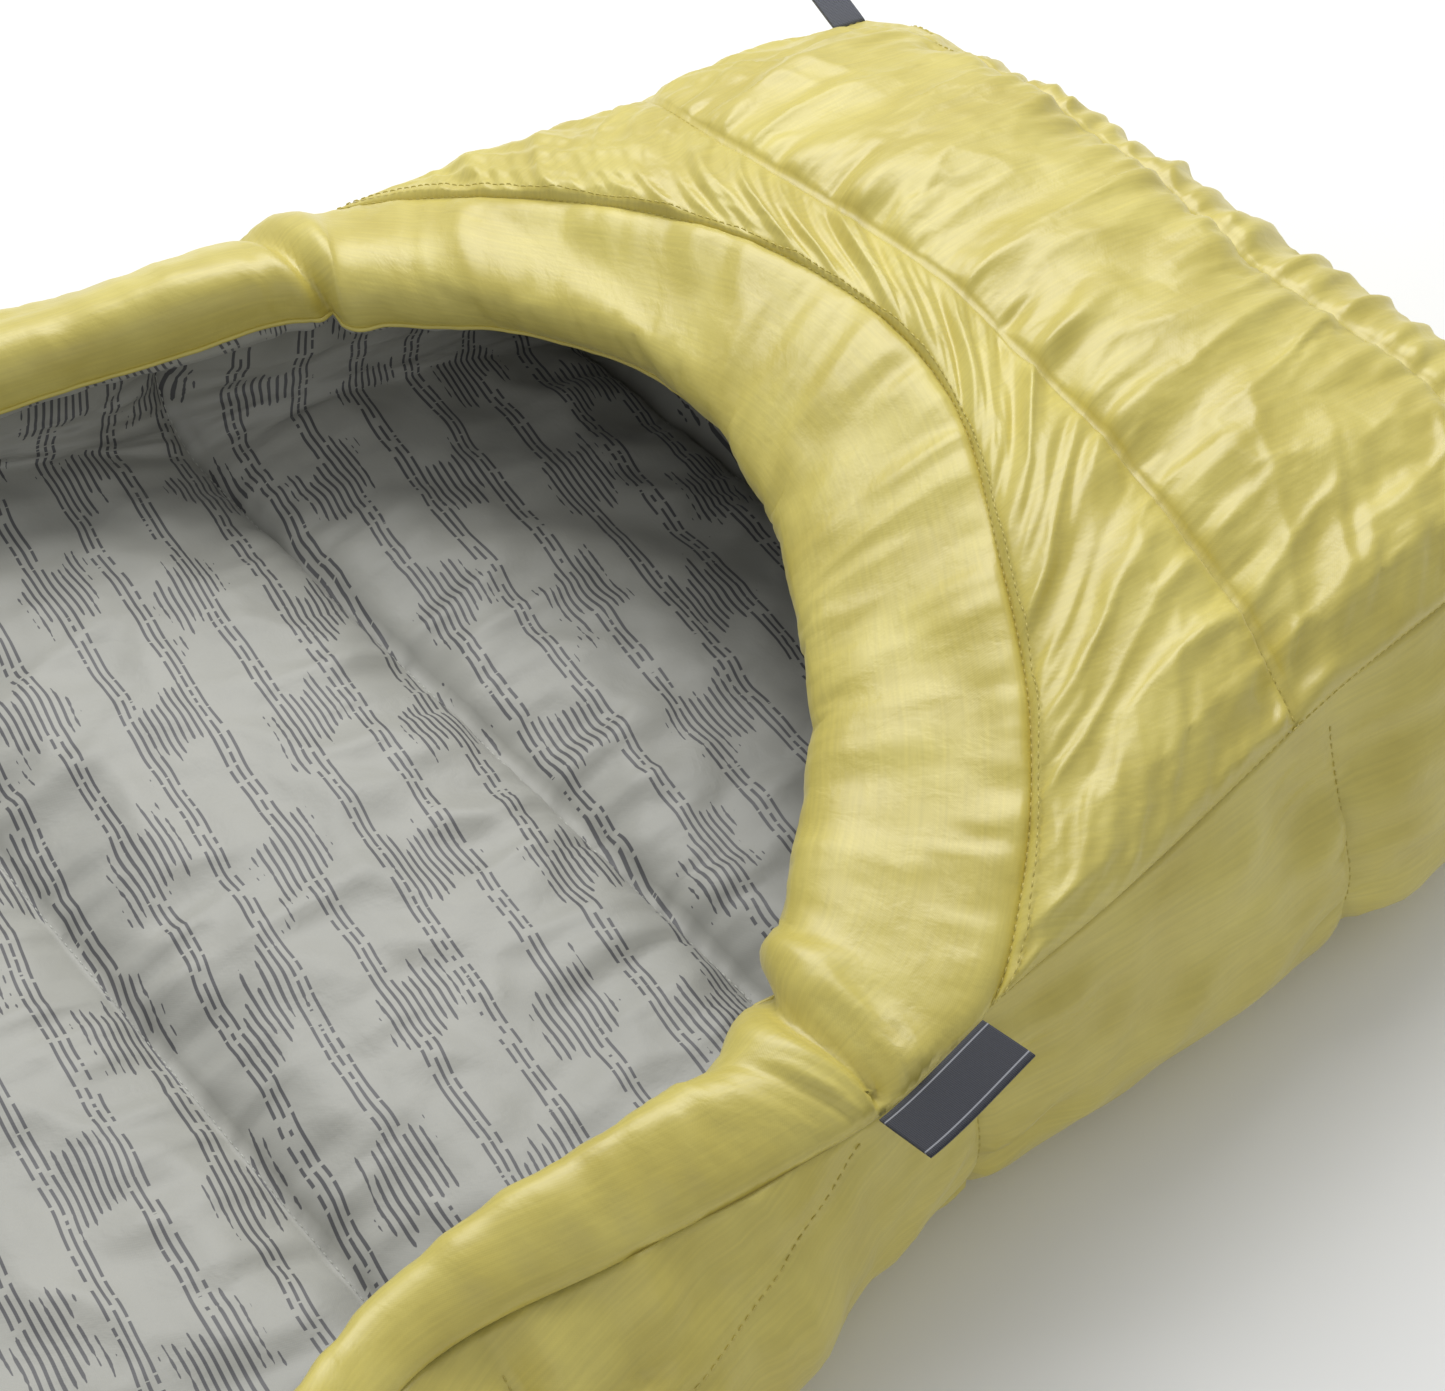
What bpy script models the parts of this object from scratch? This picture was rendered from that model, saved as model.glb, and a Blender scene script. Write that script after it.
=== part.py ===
"""A camp quilt laid out with its lining up, its foot end closed into a box.

Run with: blender --background --python part.py

The quilt lies along Y, with the closed foot box at +Y, and +Z is up. It is a sandwich: an outer shell
of cloth, box chambers of insulation divided by thin baffle walls, and a lining. Its two long edges curl
up towards the foot box and carry a stuffed draft tube, which runs on around the mouth of the box.
All sizes are in metres and all angles in degrees.
"""

import math

import bmesh
import bpy
import numpy as np
from mathutils import Matrix

# ---------------------------------------------------------------- driving sizes
LENGTH = 1.93
HALF_LENGTH = LENGTH / 2
CLOTH = 0.0008  # a shell or lining skin, drawn thicker than the woven cloth
GAP = 0.0004  # clearance between neighbouring pieces
FILL_GAP = 0.0007  # clearance between a fill and its skins
TUBE_GAP = 0.0009  # clearance between a tube and the edge that it is sewn to
CHAMBERS = 9  # cross chambers from the foot face to the head face
FOOT_CHAMBER = 0.18  # length of the chamber next to the foot face
BAFFLE_SPACING = 0.2045  # length of the others; the one next to the head takes what is left
LOFT = 0.034  # thickness of a chamber at its middle
WALL_HEIGHT = 0.022  # height of a baffle wall
BAFFLE_WALL = 0.0012
FILL_TRIM = BAFFLE_WALL / 2 + GAP  # how far the fill stops short of a seam
RIM_THICKNESS = 0.028  # thickness along every long edge, where a tube is sewn on
RIM_RUN = 0.18  # width of the strip along each long edge that can curl up
RIM_STEPS = 5
FLOOR_STEPS = 2
END_PAD = 0.034  # depth of the pad that closes the foot box
HEAD_TUBE = 0.036  # how far the head edge tube stands out
SIDE_TUBE = 0.045  # how far a side draft tube stands out
MOUTH_TUBE = 0.078  # how far the mouth tube stands out at the middle of the mouth
FOLD_ANGLE = 110.0  # travel of the head half when the quilt is folded in two
FOLD_HEIGHT = 0.036  # height of the fold line over the ground
FOLD_REACH = 0.11  # how far from the fold line its V groove is felt
TOP_LOFT = 0.038  # thickness of the foot box's top at a chamber's middle
TOP_SWELL = 0.010  # how far a chamber of the foot box's top swells over its stitch lines
TOP_RISE = 0.07  # crown of the foot box's top over its side seams, at the mouth
MOUTH_BOW = 0.19  # how far the mouth's stitch line bows towards the foot
MITRE = 216.0  # direction of the sewn edge where the side meets the foot box's top
RIM_LIFT = 0.010  # how far the long edges are held off the ground
BLUNT = 0.012  # how far the outline of the foot pad is drawn in at its back
FOOT_LIFT = 0.004  # how far the outline of the foot pad is held off the ground

SEWN_GAP = 0.0010  # clearance of a hinged strip from the seam that it is sewn into
LABEL_LENGTH = 0.054
LABEL_REACH = 0.026
LABEL_THICKNESS = 0.0012
CORNER_TAB_WIDTH = 0.018
CORNER_TAB_REACH = 0.020
WEBBING = 0.0014
LOOP_REACH = 0.028
LOOP_ROOT = 0.004  # length over which a loop's two plies are sewn together
LOOP_WIDTH = 0.014
LOOP_HEIGHT = 0.0090
NECK_TAB_REACH = 0.042
NECK_TAB_WIDTH = 0.022
SNAP_RADIUS = 0.0065
SNAP_BASE = 0.0018
SNAP_KNOB_RADIUS = 0.0026
SNAP_KNOB = 0.0020

FOOT_FACE = HALF_LENGTH - END_PAD
HEAD_FACE = -HALF_LENGTH + HEAD_TUBE
SEAMS = [FOOT_FACE] + [FOOT_FACE - FOOT_CHAMBER - k * BAFFLE_SPACING for k in range(CHAMBERS - 1)]
SEAMS = SEAMS + [HEAD_FACE]
LOOP_PLACES = (SEAMS[6], SEAMS[8])  # the mattress loops stand at these cross seams
NECK_TAB_PLACE = HEAD_FACE + 0.030
MOUTH_SEAM = SEAMS[2]  # where the mouth's stitch line meets the side seams
FOLD_SEAM = SEAMS[5]  # the quilt folds in two here
CHAMBER_SHARES = (0.0, 0.25, 0.5, 0.75, 1.0)  # where a chamber is cut along its length

# The outer face of each long edge: a flat floor out to "floor", an arc of "radius" through "curl"
# degrees, then a straight "run". One row for each place, given as a share of the way from the head
# face (0) to the foot face (1).
NEAR_EDGE = (
    # share, floor, radius, curl, run
    (0.000, 0.490, 0.090, 1.0, 0.060),
    (0.350, 0.470, 0.090, 1.0, 0.060),
    (0.465, 0.425, 0.090, 8.0, 0.050),
    (0.495, 0.410, 0.085, 17.0, 0.044),
    (0.575, 0.345, 0.065, 74.0, 0.030),
    (0.635, 0.290, 0.050, 116.0, 0.028),
    (0.685, 0.270, 0.044, 132.0, 0.036),
    (0.740, 0.260, 0.045, 116.0, 0.036),
    (0.770, 0.247, 0.050, 108.0, 0.046),
    (0.800, 0.240, 0.050, 105.0, 0.058),
    (0.850, 0.237, 0.055, 107.0, 0.064),
    (0.905, 0.235, 0.055, 107.0, 0.082),
    (1.000, 0.195, 0.055, 95.0, 0.090),
)
FAR_EDGE = (
    (0.000, 0.490, 0.090, 1.0, 0.060),
    (0.350, 0.470, 0.090, 1.0, 0.060),
    (0.465, 0.450, 0.090, 8.0, 0.050),
    (0.575, 0.415, 0.070, 48.0, 0.036),
    (0.635, 0.385, 0.055, 78.0, 0.038),
    (0.685, 0.355, 0.050, 96.0, 0.044),
    (0.740, 0.318, 0.050, 104.0, 0.046),
    (0.770, 0.290, 0.050, 104.0, 0.052),
    (0.800, 0.265, 0.050, 104.0, 0.058),
    (0.850, 0.245, 0.055, 107.0, 0.064),
    (0.905, 0.235, 0.055, 107.0, 0.082),
    (1.000, 0.195, 0.055, 95.0, 0.090),
)
MITRE_STARTS, MITRE_FULL = 0.70, 0.785  # shares of the length between which the sewn edge turns

# Outline of a tube's section over the edge that it is sewn to: (along the edge, out from it), as
# shares of the edge's thickness and of how far the tube stands out.
TUBE_SECTION = (
    (0.0, 0.0), (-0.22, 0.24), (-0.20, 0.66), (0.12, 0.95),
    (0.62, 1.0), (1.18, 0.86), (1.38, 0.50), (1.28, 0.20), (1.0, 0.0),
)

YELLOW = (0.62, 0.55, 0.14, 1.0)
GREY = (0.36, 0.37, 0.35, 1.0)
DOWN_WHITE = (0.85, 0.84, 0.80, 1.0)
MESH_GREY = (0.55, 0.56, 0.56, 1.0)
CHARCOAL = (0.03, 0.03, 0.045, 1.0)
SNAP_GREY = (0.25, 0.25, 0.26, 1.0)


# ---------------------------------------------------------------- blender helpers
def clear_scene():
    for obj in list(bpy.data.objects):
        bpy.data.objects.remove(obj, do_unlink=True)


def material(name, colour, roughness, metallic=0.0):
    mat = bpy.data.materials.get(name)
    if mat is None:
        mat = bpy.data.materials.new(name)
        mat.use_nodes = True
        shader = mat.node_tree.nodes["Principled BSDF"]
        shader.inputs["Base Color"].default_value = colour
        shader.inputs["Roughness"].default_value = roughness
        shader.inputs["Metallic"].default_value = metallic
    return mat


def add_node(name, mesh, mat, hinge=None):
    """Links a finished mesh as one named object. hinge is the point its origin is moved to."""
    mesh.materials.append(mat)
    obj = bpy.data.objects.new(name, mesh)
    if hinge is not None:
        mesh.transform(Matrix.Translation(tuple(-float(c) for c in hinge)))
        obj.location = tuple(float(c) for c in hinge)
    bpy.context.scene.collection.objects.link(obj)
    return obj


def block(name, outer, inner, mat, hinge=None):
    """A closed solid between two grids of points with the same rows and columns.

    Squares that face each other across a gap are cut along the same diagonal, which keeps the gap even.
    """
    outer, inner = np.asarray(outer), np.asarray(inner)
    rows, columns = outer.shape[:2]
    mesh = bpy.data.meshes.new(name)
    shape = bmesh.new()
    low, high = [[[shape.verts.new(p) for p in row] for row in grid] for grid in (outer, inner)]

    def square(a, b, c, d):
        shape.faces.new((a, b, c))
        shape.faces.new((a, c, d))

    for i in range(rows - 1):
        for j in range(columns - 1):
            square(low[i][j], low[i + 1][j], low[i + 1][j + 1], low[i][j + 1])
            square(high[i][j], high[i][j + 1], high[i + 1][j + 1], high[i + 1][j])
    for i in range(rows - 1):
        square(high[i][0], high[i + 1][0], low[i + 1][0], low[i][0])
        square(high[i][-1], low[i][-1], low[i + 1][-1], high[i + 1][-1])
    for j in range(columns - 1):
        square(high[0][j], low[0][j], low[0][j + 1], high[0][j + 1])
        square(high[-1][j], high[-1][j + 1], low[-1][j + 1], low[-1][j])
    bmesh.ops.recalc_face_normals(shape, faces=shape.faces)
    shape.to_mesh(mesh)
    shape.free()
    return add_node(name, mesh, mat, hinge)


def loft(name, rings, mat, inner_rings=None, cup=False, hinge=None):
    """A closed solid through rings of points.

    With inner rings it is a sleeve with open ends, or with "cup" a bowl open at its first ring.
    """
    mesh = bpy.data.meshes.new(name)
    shape = bmesh.new()
    count = len(rings[0])

    def skin(stack):
        made = [[shape.verts.new(p) for p in ring] for ring in stack]
        for a, b in zip(made, made[1:]):
            for j in range(count):
                k = (j + 1) % count
                shape.faces.new((a[j], b[j], b[k]))
                shape.faces.new((a[j], b[k], a[k]))
        return made[0], made[-1]

    def border(a, b):
        for j in range(count):
            k = (j + 1) % count
            shape.faces.new((a[j], a[k], b[k]))
            shape.faces.new((a[j], b[k], b[j]))

    first, last = skin(rings)
    if inner_rings is None:
        shape.faces.new(first)
        shape.faces.new(last)
    else:
        inner_first, inner_last = skin(inner_rings)
        border(first, inner_first)
        if cup:
            shape.faces.new(last)
            shape.faces.new(inner_last)
        else:
            border(last, inner_last)
    bmesh.ops.recalc_face_normals(shape, faces=shape.faces)
    for face in shape.faces:
        face.smooth = len(face.verts) < 5
    shape.to_mesh(mesh)
    shape.free()
    return add_node(name, mesh, mat, hinge)


# ---------------------------------------------------------------- the quilt's cross section
def unit(vector):
    vector = np.asarray(vector, float)
    return vector / np.linalg.norm(vector)


def share_of(y):
    return (y - HEAD_FACE) / (FOOT_FACE - HEAD_FACE)


def edge_values(y, side):
    """(floor, radius, curl, run, face direction) of one long edge. side is 1 near and -1 far."""
    table = np.array(NEAR_EDGE if side > 0 else FAR_EDGE)
    share = share_of(y)
    floor, radius, curl, run = (np.interp(share, table[:, 0], table[:, k]) for k in (1, 2, 3, 4))
    mitred = np.clip((share - MITRE_STARTS) / (MITRE_FULL - MITRE_STARTS), 0, 1)
    face = (1 - mitred) * (curl + 90.0) + mitred * MITRE
    return floor, radius, math.radians(curl), run, math.radians(face)


def chamber_share(y):
    """How far y lies between the two seams around it, from 0 to 1."""
    for foot_side, head_side in zip(SEAMS, SEAMS[1:]):
        if head_side - 1e-9 <= y <= foot_side + 1e-9:
            return (y - head_side) / (foot_side - head_side)
    return 0.0


def pillow(share):
    """0 at a seam and 1 over the middle half of a chamber."""
    edge = min(share, 1.0 - share) / CHAMBER_SHARES[1]
    return min(1.0, max(0.0, edge))


def wall_point(y, distance, side):
    """The outer face's point at a distance in from the rim, with its inward direction and thickness."""
    floor, radius, curl, run, face = edge_values(y, side)
    arc = radius * curl
    if distance <= run:
        back, angle = run - distance, curl
        x = floor + radius * math.sin(curl) + back * math.cos(curl)
        z = radius * (1 - math.cos(curl)) + back * math.sin(curl)
    elif distance <= run + arc:
        angle = curl - (distance - run) / radius
        x = floor + radius * math.sin(angle)
        z = radius * (1 - math.cos(angle))
    else:
        x, z, angle = floor - (distance - run - arc), 0.0, 0.0
    turn = max(0.0, 1.0 - distance / (RIM_RUN / RIM_STEPS))
    inward = (1 - turn) * (angle + math.pi / 2) + turn * face
    edge = min(1.0, distance / (2 * RIM_RUN / RIM_STEPS))
    chamber = WALL_HEIGHT + (LOFT - WALL_HEIGHT) * pillow(chamber_share(y))
    thickness = edge * chamber + (1 - edge) * RIM_THICKNESS
    lift = RIM_LIFT * max(0.0, 1.0 - distance / RIM_RUN)
    point = np.array([side * x, y, z + lift])
    return point, np.array([side * math.cos(inward), 0.0, math.sin(inward)]), thickness


def distances(y, side):
    """Distances in from the rim at which a section is cut, ending at the centre line."""
    floor, radius, curl, run, _ = edge_values(y, side)
    whole = floor + radius * curl + run
    rim = [RIM_RUN * k / RIM_STEPS for k in range(RIM_STEPS + 1)]
    return rim + [RIM_RUN + (whole - RIM_RUN) * k / FLOOR_STEPS for k in range(1, FLOOR_STEPS + 1)]


def groove(points):
    """Slants what rises over the fold line away from it, so that the two halves can close on each other."""
    points = np.array(points, float)
    felt = np.clip(1.0 - np.abs(points[..., 1] - FOLD_SEAM) / FOLD_REACH, 0.0, 1.0)
    slope = math.tan(math.radians(FOLD_ANGLE / 2 + 1.5))
    side = np.where(points[..., 1] > FOLD_SEAM, 1.0, -1.0)
    points[..., 1] += side * felt * slope * np.clip(points[..., 2] - FOLD_HEIGHT, 0.0, None)
    return points


def section(y):
    """(points, inward directions, thicknesses) of the outer face from the far rim to the near rim."""
    far = [wall_point(y, d, -1) for d in distances(y, -1)]
    near = [wall_point(y, d, 1) for d in distances(y, 1)[:-1]]
    rows = far + near[::-1]
    rows[len(far) - 1][0][0] = 0.0
    return tuple(np.array([row[k] for row in rows]) for k in range(3))


def layer(ys, start, end, columns=slice(None)):
    """Two grids of points, at "start" in from the outer face and "end" short of the lining face."""
    outer, inner = [], []
    for y in ys:
        points, inward, thickness = (a[columns] for a in section(y))
        depth_a = start if start >= 0 else thickness + start
        depth_b = end if end >= 0 else thickness + end
        outer.append(points + inward * np.reshape(depth_a, (-1, 1)))
        inner.append(points + inward * np.reshape(depth_b, (-1, 1)))
    return groove(outer), groove(inner)


def chamber_stations(k):
    """Where chamber k is cut along Y, from its foot side to its head side."""
    foot_side, head_side = SEAMS[k], SEAMS[k + 1]
    return [foot_side + (head_side - foot_side) * s for s in CHAMBER_SHARES]


def stations(first, last):
    """All cuts from chamber "first" to chamber "last", kept clear of the fold line."""
    ys = [y for k in range(first, last + 1) for y in chamber_stations(k)[:-1]]
    ys.append(SEAMS[last + 1])
    return clear_of_fold(ys)


def clear_of_fold(ys):
    """The same cuts, with the one on the fold line moved half a gap to its own side."""
    middle = sum(ys) / len(ys)
    side = 1.0 if middle > FOLD_SEAM else -1.0
    return [y + side * GAP * 0.7 if abs(y - FOLD_SEAM) < 1e-6 else y for y in ys]


FOOT_HALF = (0, 4)  # chambers on the foot side of the fold
HEAD_HALF = (5, CHAMBERS - 1)


# ---------------------------------------------------------------- shell, lining, fill and walls
def make_skins():
    columns = 2 * (RIM_STEPS + FLOOR_STEPS) + 1
    panels = {
        "shell_side_far": slice(0, RIM_STEPS),
        "shell_floor": slice(RIM_STEPS - 1, columns - RIM_STEPS + 1),
        "shell_side_near": slice(columns - RIM_STEPS, columns),
    }
    yellow, grey = material("shell_cloth", YELLOW, 0.45), material("lining_cloth", GREY, 0.55)
    for half, chambers in (("foot", FOOT_HALF), ("head", HEAD_HALF)):
        ys = stations(*chambers)
        for name, part in panels.items():
            outer, inner = layer(ys, 0.0, CLOTH, part)
            for grid in (outer, inner):
                if name != "shell_floor":
                    draw_back(np.swapaxes(grid, 0, 1), 0 if name == "shell_side_near" else -1, GAP)
            block(f"{name}_{half}", outer, inner, yellow)
        outer, inner = layer(ys, -CLOTH, -0.0 - 1e-9)
        block(f"lining_{half}", outer, inner, grey)


def draw_back(grid, edge, amount):
    """Shortens a grid of points at its first (0) or last (-1) row, along its own surface."""
    along = grid[1 if edge == 0 else -2] - grid[edge]
    grid[edge] += along / np.linalg.norm(along, axis=1, keepdims=True) * amount


def draw_back_sides(grid, amount):
    """Shortens a grid at its first and last columns."""
    across = np.swapaxes(grid, 0, 1)
    draw_back(across, 0, amount)
    draw_back(across, -1, amount)


def make_fill():
    white = material("insulation", DOWN_WHITE, 0.9)
    skin = CLOTH + FILL_GAP
    for k in range(CHAMBERS):
        grids = layer(clear_of_fold(chamber_stations(k)), skin, -skin)
        for grid in grids:
            draw_back(grid, 0, FILL_TRIM if k else GAP)
            draw_back(grid, -1, FILL_TRIM if k < CHAMBERS - 1 else GAP)
            draw_back_sides(grid, FILL_TRIM)
        block(f"fill_chamber_{k + 1}", *grids, white)


def make_baffle_walls():
    mesh_cloth = material("baffle_mesh", MESH_GREY, 0.8)
    skin = CLOTH + FILL_GAP
    for k, y in enumerate(SEAMS[1:-1], start=1):
        if abs(y - FOLD_SEAM) < 1e-6:
            continue
        outer, inner = layer([y], skin, -skin)
        half = np.array([0.0, BAFFLE_WALL / 2, 0.0])
        grids = [np.array([grid[0] + half, grid[0] - half]) for grid in (outer, inner)]
        for grid in grids:
            draw_back_sides(grid, FILL_TRIM)
        block(f"baffle_wall_{k}", *grids, mesh_cloth)


# ---------------------------------------------------------------- foot box top
def rim(y, side):
    """The sewn edge of the side at y: its outer corner, its direction in, and the way out of it."""
    point, inward, _ = wall_point(y, 0.0, side)
    turned = math.atan2(inward[2], side * inward[0]) - math.pi / 2
    out = np.array([side * math.cos(turned), 0.0, math.sin(turned)])
    return point, inward, out


TOP_COLUMNS = 12
TOP_STITCHES = (  # where each cross stitch line starts on the side seam, and its bow to the foot
    (MOUTH_SEAM, MOUTH_BOW, TOP_RISE),
    (SEAMS[1], 0.022, 0.042),
    (SEAMS[0] - FOOT_CHAMBER * 0.25, 0.016, 0.028),
    (SEAMS[0] - GAP, 0.0, 0.008),
)


def top_stitch(k, x):
    """A point of the foot box top's stitch line k, at x from -1 on the far seam to 1 on the near one."""
    y, bow, rise = TOP_STITCHES[k]
    ends = []
    for side in (-1, 1):
        corner, _, out = rim(y, side)
        ends.append(corner + out * GAP)
    crown = 1.0 - abs(x) ** 2.2
    base = ends[0] * (1 - x) / 2 + ends[1] * (1 + x) / 2
    return base + np.array([0.0, bow * crown, rise * crown])


def top_inward(x):
    """The way from the top's outer face to its lining, which leans inwards at the side seams."""
    lean = math.cos(math.radians(MITRE)) / math.sin(math.radians(MITRE))
    return unit([-x * abs(x) * lean, 0.0, -1.0])


TOP_SHARES = ((0.0, 0.25, 0.5, 0.75, 1.0), (0.0, 1 / 3, 2 / 3, 1.0), (0.0, 1.0))


def top_rows(chambers):
    """(stitch line, share of the way to the next one) for every cut, from the foot to the mouth."""
    rows = [(k, share) for k in chambers for share in TOP_SHARES[k][:-1]]
    rows.append((chambers[-1], 1.0))
    return rows[::-1]


def seam_correction(k, share, side):
    """What brings the end of a cut onto the side seam, which isn't straight between stitch lines."""
    head, foot = top_stitch(k, side), top_stitch(k + 1, side)
    straight = head * (1 - share) + foot * share
    corner, _, out = rim(straight[1], side)
    return corner + out * GAP - straight


def top_layer(chambers, start, end):
    """Two grids of the top between its outer and lining faces, through some of its chambers."""
    outer, inner = [], []
    for k, share in top_rows(chambers):
        ends = [seam_correction(k, share, side) for side in (-1, 1)]
        a, b = [], []
        for x in np.linspace(-1, 1, TOP_COLUMNS + 1):
            swell = min(1.0, min(share, 1 - share) * 4) * (1 - x ** 4)
            thickness = RIM_THICKNESS + (TOP_LOFT - RIM_THICKNESS) * swell
            point = top_stitch(k, x) * (1 - share) + top_stitch(k + 1, x) * share
            point = point + ends[0] * (1 - x) / 2 + ends[1] * (1 + x) / 2 + [0, 0, TOP_SWELL * swell]
            inward = top_inward(x)
            a.append(point + inward * (start if start >= 0 else thickness + start))
            b.append(point + inward * (end if end >= 0 else thickness + end))
        outer.append(a)
        inner.append(b)
    return np.array(outer), np.array(inner)


def make_foot_top():
    yellow, grey = material("shell_cloth", YELLOW, 0.45), material("lining_cloth", GREY, 0.55)
    white = material("insulation", DOWN_WHITE, 0.9)
    mesh_cloth = material("baffle_mesh", MESH_GREY, 0.8)
    skin = CLOTH + FILL_GAP
    block("foot_top_shell", *top_layer((0, 1, 2), 0.0, CLOTH), yellow)
    block("foot_top_lining", *top_layer((0, 1, 2), -CLOTH, -1e-9), grey)
    for k in range(3):
        grids = top_layer((k,), skin, -skin)
        for grid in grids:
            draw_back(grid, 0, FILL_TRIM)
            draw_back(grid, -1, FILL_TRIM)
            draw_back_sides(grid, FILL_TRIM)
        block(f"foot_top_fill_{k + 1}", *grids, white)
    for k in (1, 2):
        grids = []
        for grid in top_layer((k,), skin, -skin):
            along = grid[-2] - grid[-1]
            half = along / np.linalg.norm(along, axis=1, keepdims=True) * BAFFLE_WALL / 2
            grids.append(np.array([grid[-1] + half, grid[-1] - half]))
            draw_back_sides(grids[-1], FILL_TRIM)
        block(f"foot_top_baffle_wall_{k}", *grids, mesh_cloth)


# ---------------------------------------------------------------- draft tubes
def tube_ring(corner, inward, out, reach, shrink=0.0):
    """A tube's section, sewn along the edge at "corner". shrink draws it in for the stuffing."""
    middle = np.array([0.55 * RIM_THICKNESS, 0.5 * reach])
    ring = []
    for a, c in TUBE_SECTION:
        flat = np.array([a * RIM_THICKNESS * tube_width(reach), c * reach])
        toward = middle * [tube_width(reach), 1.0] - flat
        flat = flat + toward * min(1.0, shrink * 1.25 / max(np.linalg.norm(toward), 1e-6))
        ring.append(corner + inward * flat[0] + out * (flat[1] + TUBE_GAP))
    return ring


def tube_width(reach):
    """A tube that stands out further is also thicker than the edge that it is sewn to."""
    return 1.0 + max(0.0, reach - SIDE_TUBE) * 9.0


def tube(name, frames):
    """The cover and the stuffing of one stretch of tube, through (corner, inward, out, reach) frames."""
    yellow, white = material("shell_cloth", YELLOW, 0.45), material("insulation", DOWN_WHITE, 0.9)
    rings = groove([tube_ring(*frame) for frame in frames])
    inside = groove([tube_ring(*frame, shrink=CLOTH) for frame in frames])
    core = groove([tube_ring(*frame, shrink=CLOTH + GAP) for frame in frames])
    loft(f"{name}_cover", rings, yellow, inner_rings=inside)
    loft(f"{name}_fill", core, white)


def mouth_frame(x):
    """Where the mouth tube is sewn to the foot box's top, and which way it stands out."""
    step = 1e-3
    corner, inward = top_stitch(0, x), top_inward(x)
    along = unit(top_stitch(0, min(1, x + step)) - top_stitch(0, max(-1, x - step)))
    out = unit(np.cross(along, inward))
    if out[1] > 0:
        out = -out
    return corner, inward, out


def side_reach(y):
    """How far a side tube stands out: more next to the foot box."""
    return np.interp(share_of(y), (0.0, 0.70, 0.80), (SIDE_TUBE, SIDE_TUBE, SIDE_TUBE + 0.012))


def junction(side, towards):
    """The section where a side tube meets the mouth tube, on the head (-1) or foot (1) side of it."""
    corner, inward, out = rim(MOUTH_SEAM, side)
    _, _, mouth_out = mouth_frame(side)
    out = unit(out + mouth_out)
    normal = unit(np.cross(inward, out))
    normal = normal * np.sign(normal[1]) * towards
    return corner + normal * GAP, inward, out, side_reach(MOUTH_SEAM)


def make_tubes():
    for side, word in ((1, "near"), (-1, "far")):
        for half, chambers in (("foot", (2, 4)), ("head", HEAD_HALF)):
            frames = []
            for y in stations(*chambers):
                corner, inward, out = rim(y, side)
                frames.append((corner, inward, out, side_reach(y)))
            if half == "foot":
                frames[0] = junction(side, -1)
            tube(f"draft_tube_{word}_{half}", frames)
    frames = []
    for x in np.linspace(-1, 1, TOP_COLUMNS + 1):
        corner, inward, out = mouth_frame(x)
        blend = 1.0 - abs(x) ** 2
        reach = side_reach(MOUTH_SEAM) * (1 - blend) + MOUTH_TUBE * blend
        frames.append((corner, inward, out, reach))
    frames[0], frames[-1] = junction(-1, 1), junction(1, 1)
    tube("mouth_tube", frames)


def make_head_tube():
    """The stuffed edge across the head end, drawn in where it turns the corners."""
    reach = HEAD_TUBE - TUBE_GAP
    half_width = wall_point(HEAD_FACE, 0.0, 1)[0][0] + SIDE_TUBE
    frames = []
    for share in (-1.0, -0.94, -0.5, 0.0, 0.5, 0.94, 1.0):
        corner = np.array([half_width * share, HEAD_FACE, RIM_LIFT])
        size = 0.72 if abs(share) == 1.0 else 1.0
        frames.append((corner, np.array([0, 0, 1.0]), np.array([0, -1.0, 0]), reach * size))
    tube("head_tube", frames)


# ---------------------------------------------------------------- foot end pad
def foot_outline():
    """The outline of the closed foot box at its foot face, as (x, z) points going round."""
    points, inward, _ = section(FOOT_FACE)
    under = points[:, [0, 2]] + inward[:, [0, 2]] * FOOT_LIFT
    over = np.array([top_stitch(3, x)[[0, 2]] for x in np.linspace(1, -1, 9)[1:-1]])
    return np.vstack([under, over])


def drawn_in(outline, amount):
    """The outline pulled towards its middle by the same amount all round."""
    middle = np.array([0.0, (outline[:, 1].min() + outline[:, 1].max()) / 2])
    half = np.abs(outline - middle).max(axis=0)
    return middle + (outline - middle) * (1.0 - amount / half)


def pad_rings(stages):
    """Rings across the foot box at each (y, drawn in) stage."""
    outline = foot_outline()
    return [[(x, y, z) for x, z in drawn_in(outline, amount)] for y, amount in stages]


def make_foot_end():
    face = FOOT_FACE + GAP
    back = HALF_LENGTH
    skin = CLOTH + FILL_GAP
    lined = face + CLOTH + GAP
    bulge = ((0.0, 0.0), (0.55, 0.25), (0.88, 1.0), (1.0, 3.0))
    outside = [(lined + (back - lined) * s, BLUNT * d) for s, d in bulge]
    inside = [(lined + (back - CLOTH - lined) * s, BLUNT * d + CLOTH) for s, d in bulge]
    core = [(lined + (back - skin - lined) * s, BLUNT * d + skin) for s, d in bulge]
    grey, white = material("lining_cloth", GREY, 0.55), material("insulation", DOWN_WHITE, 0.9)
    loft("foot_end_lining", pad_rings([(face, 0.0), (face + CLOTH, 0.0)]), grey)
    loft("foot_end_fill", pad_rings(core), white)
    yellow = material("shell_cloth", YELLOW, 0.45)
    loft("foot_end_shell", pad_rings(outside), yellow, inner_rings=pad_rings(inside), cup=True)


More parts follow.
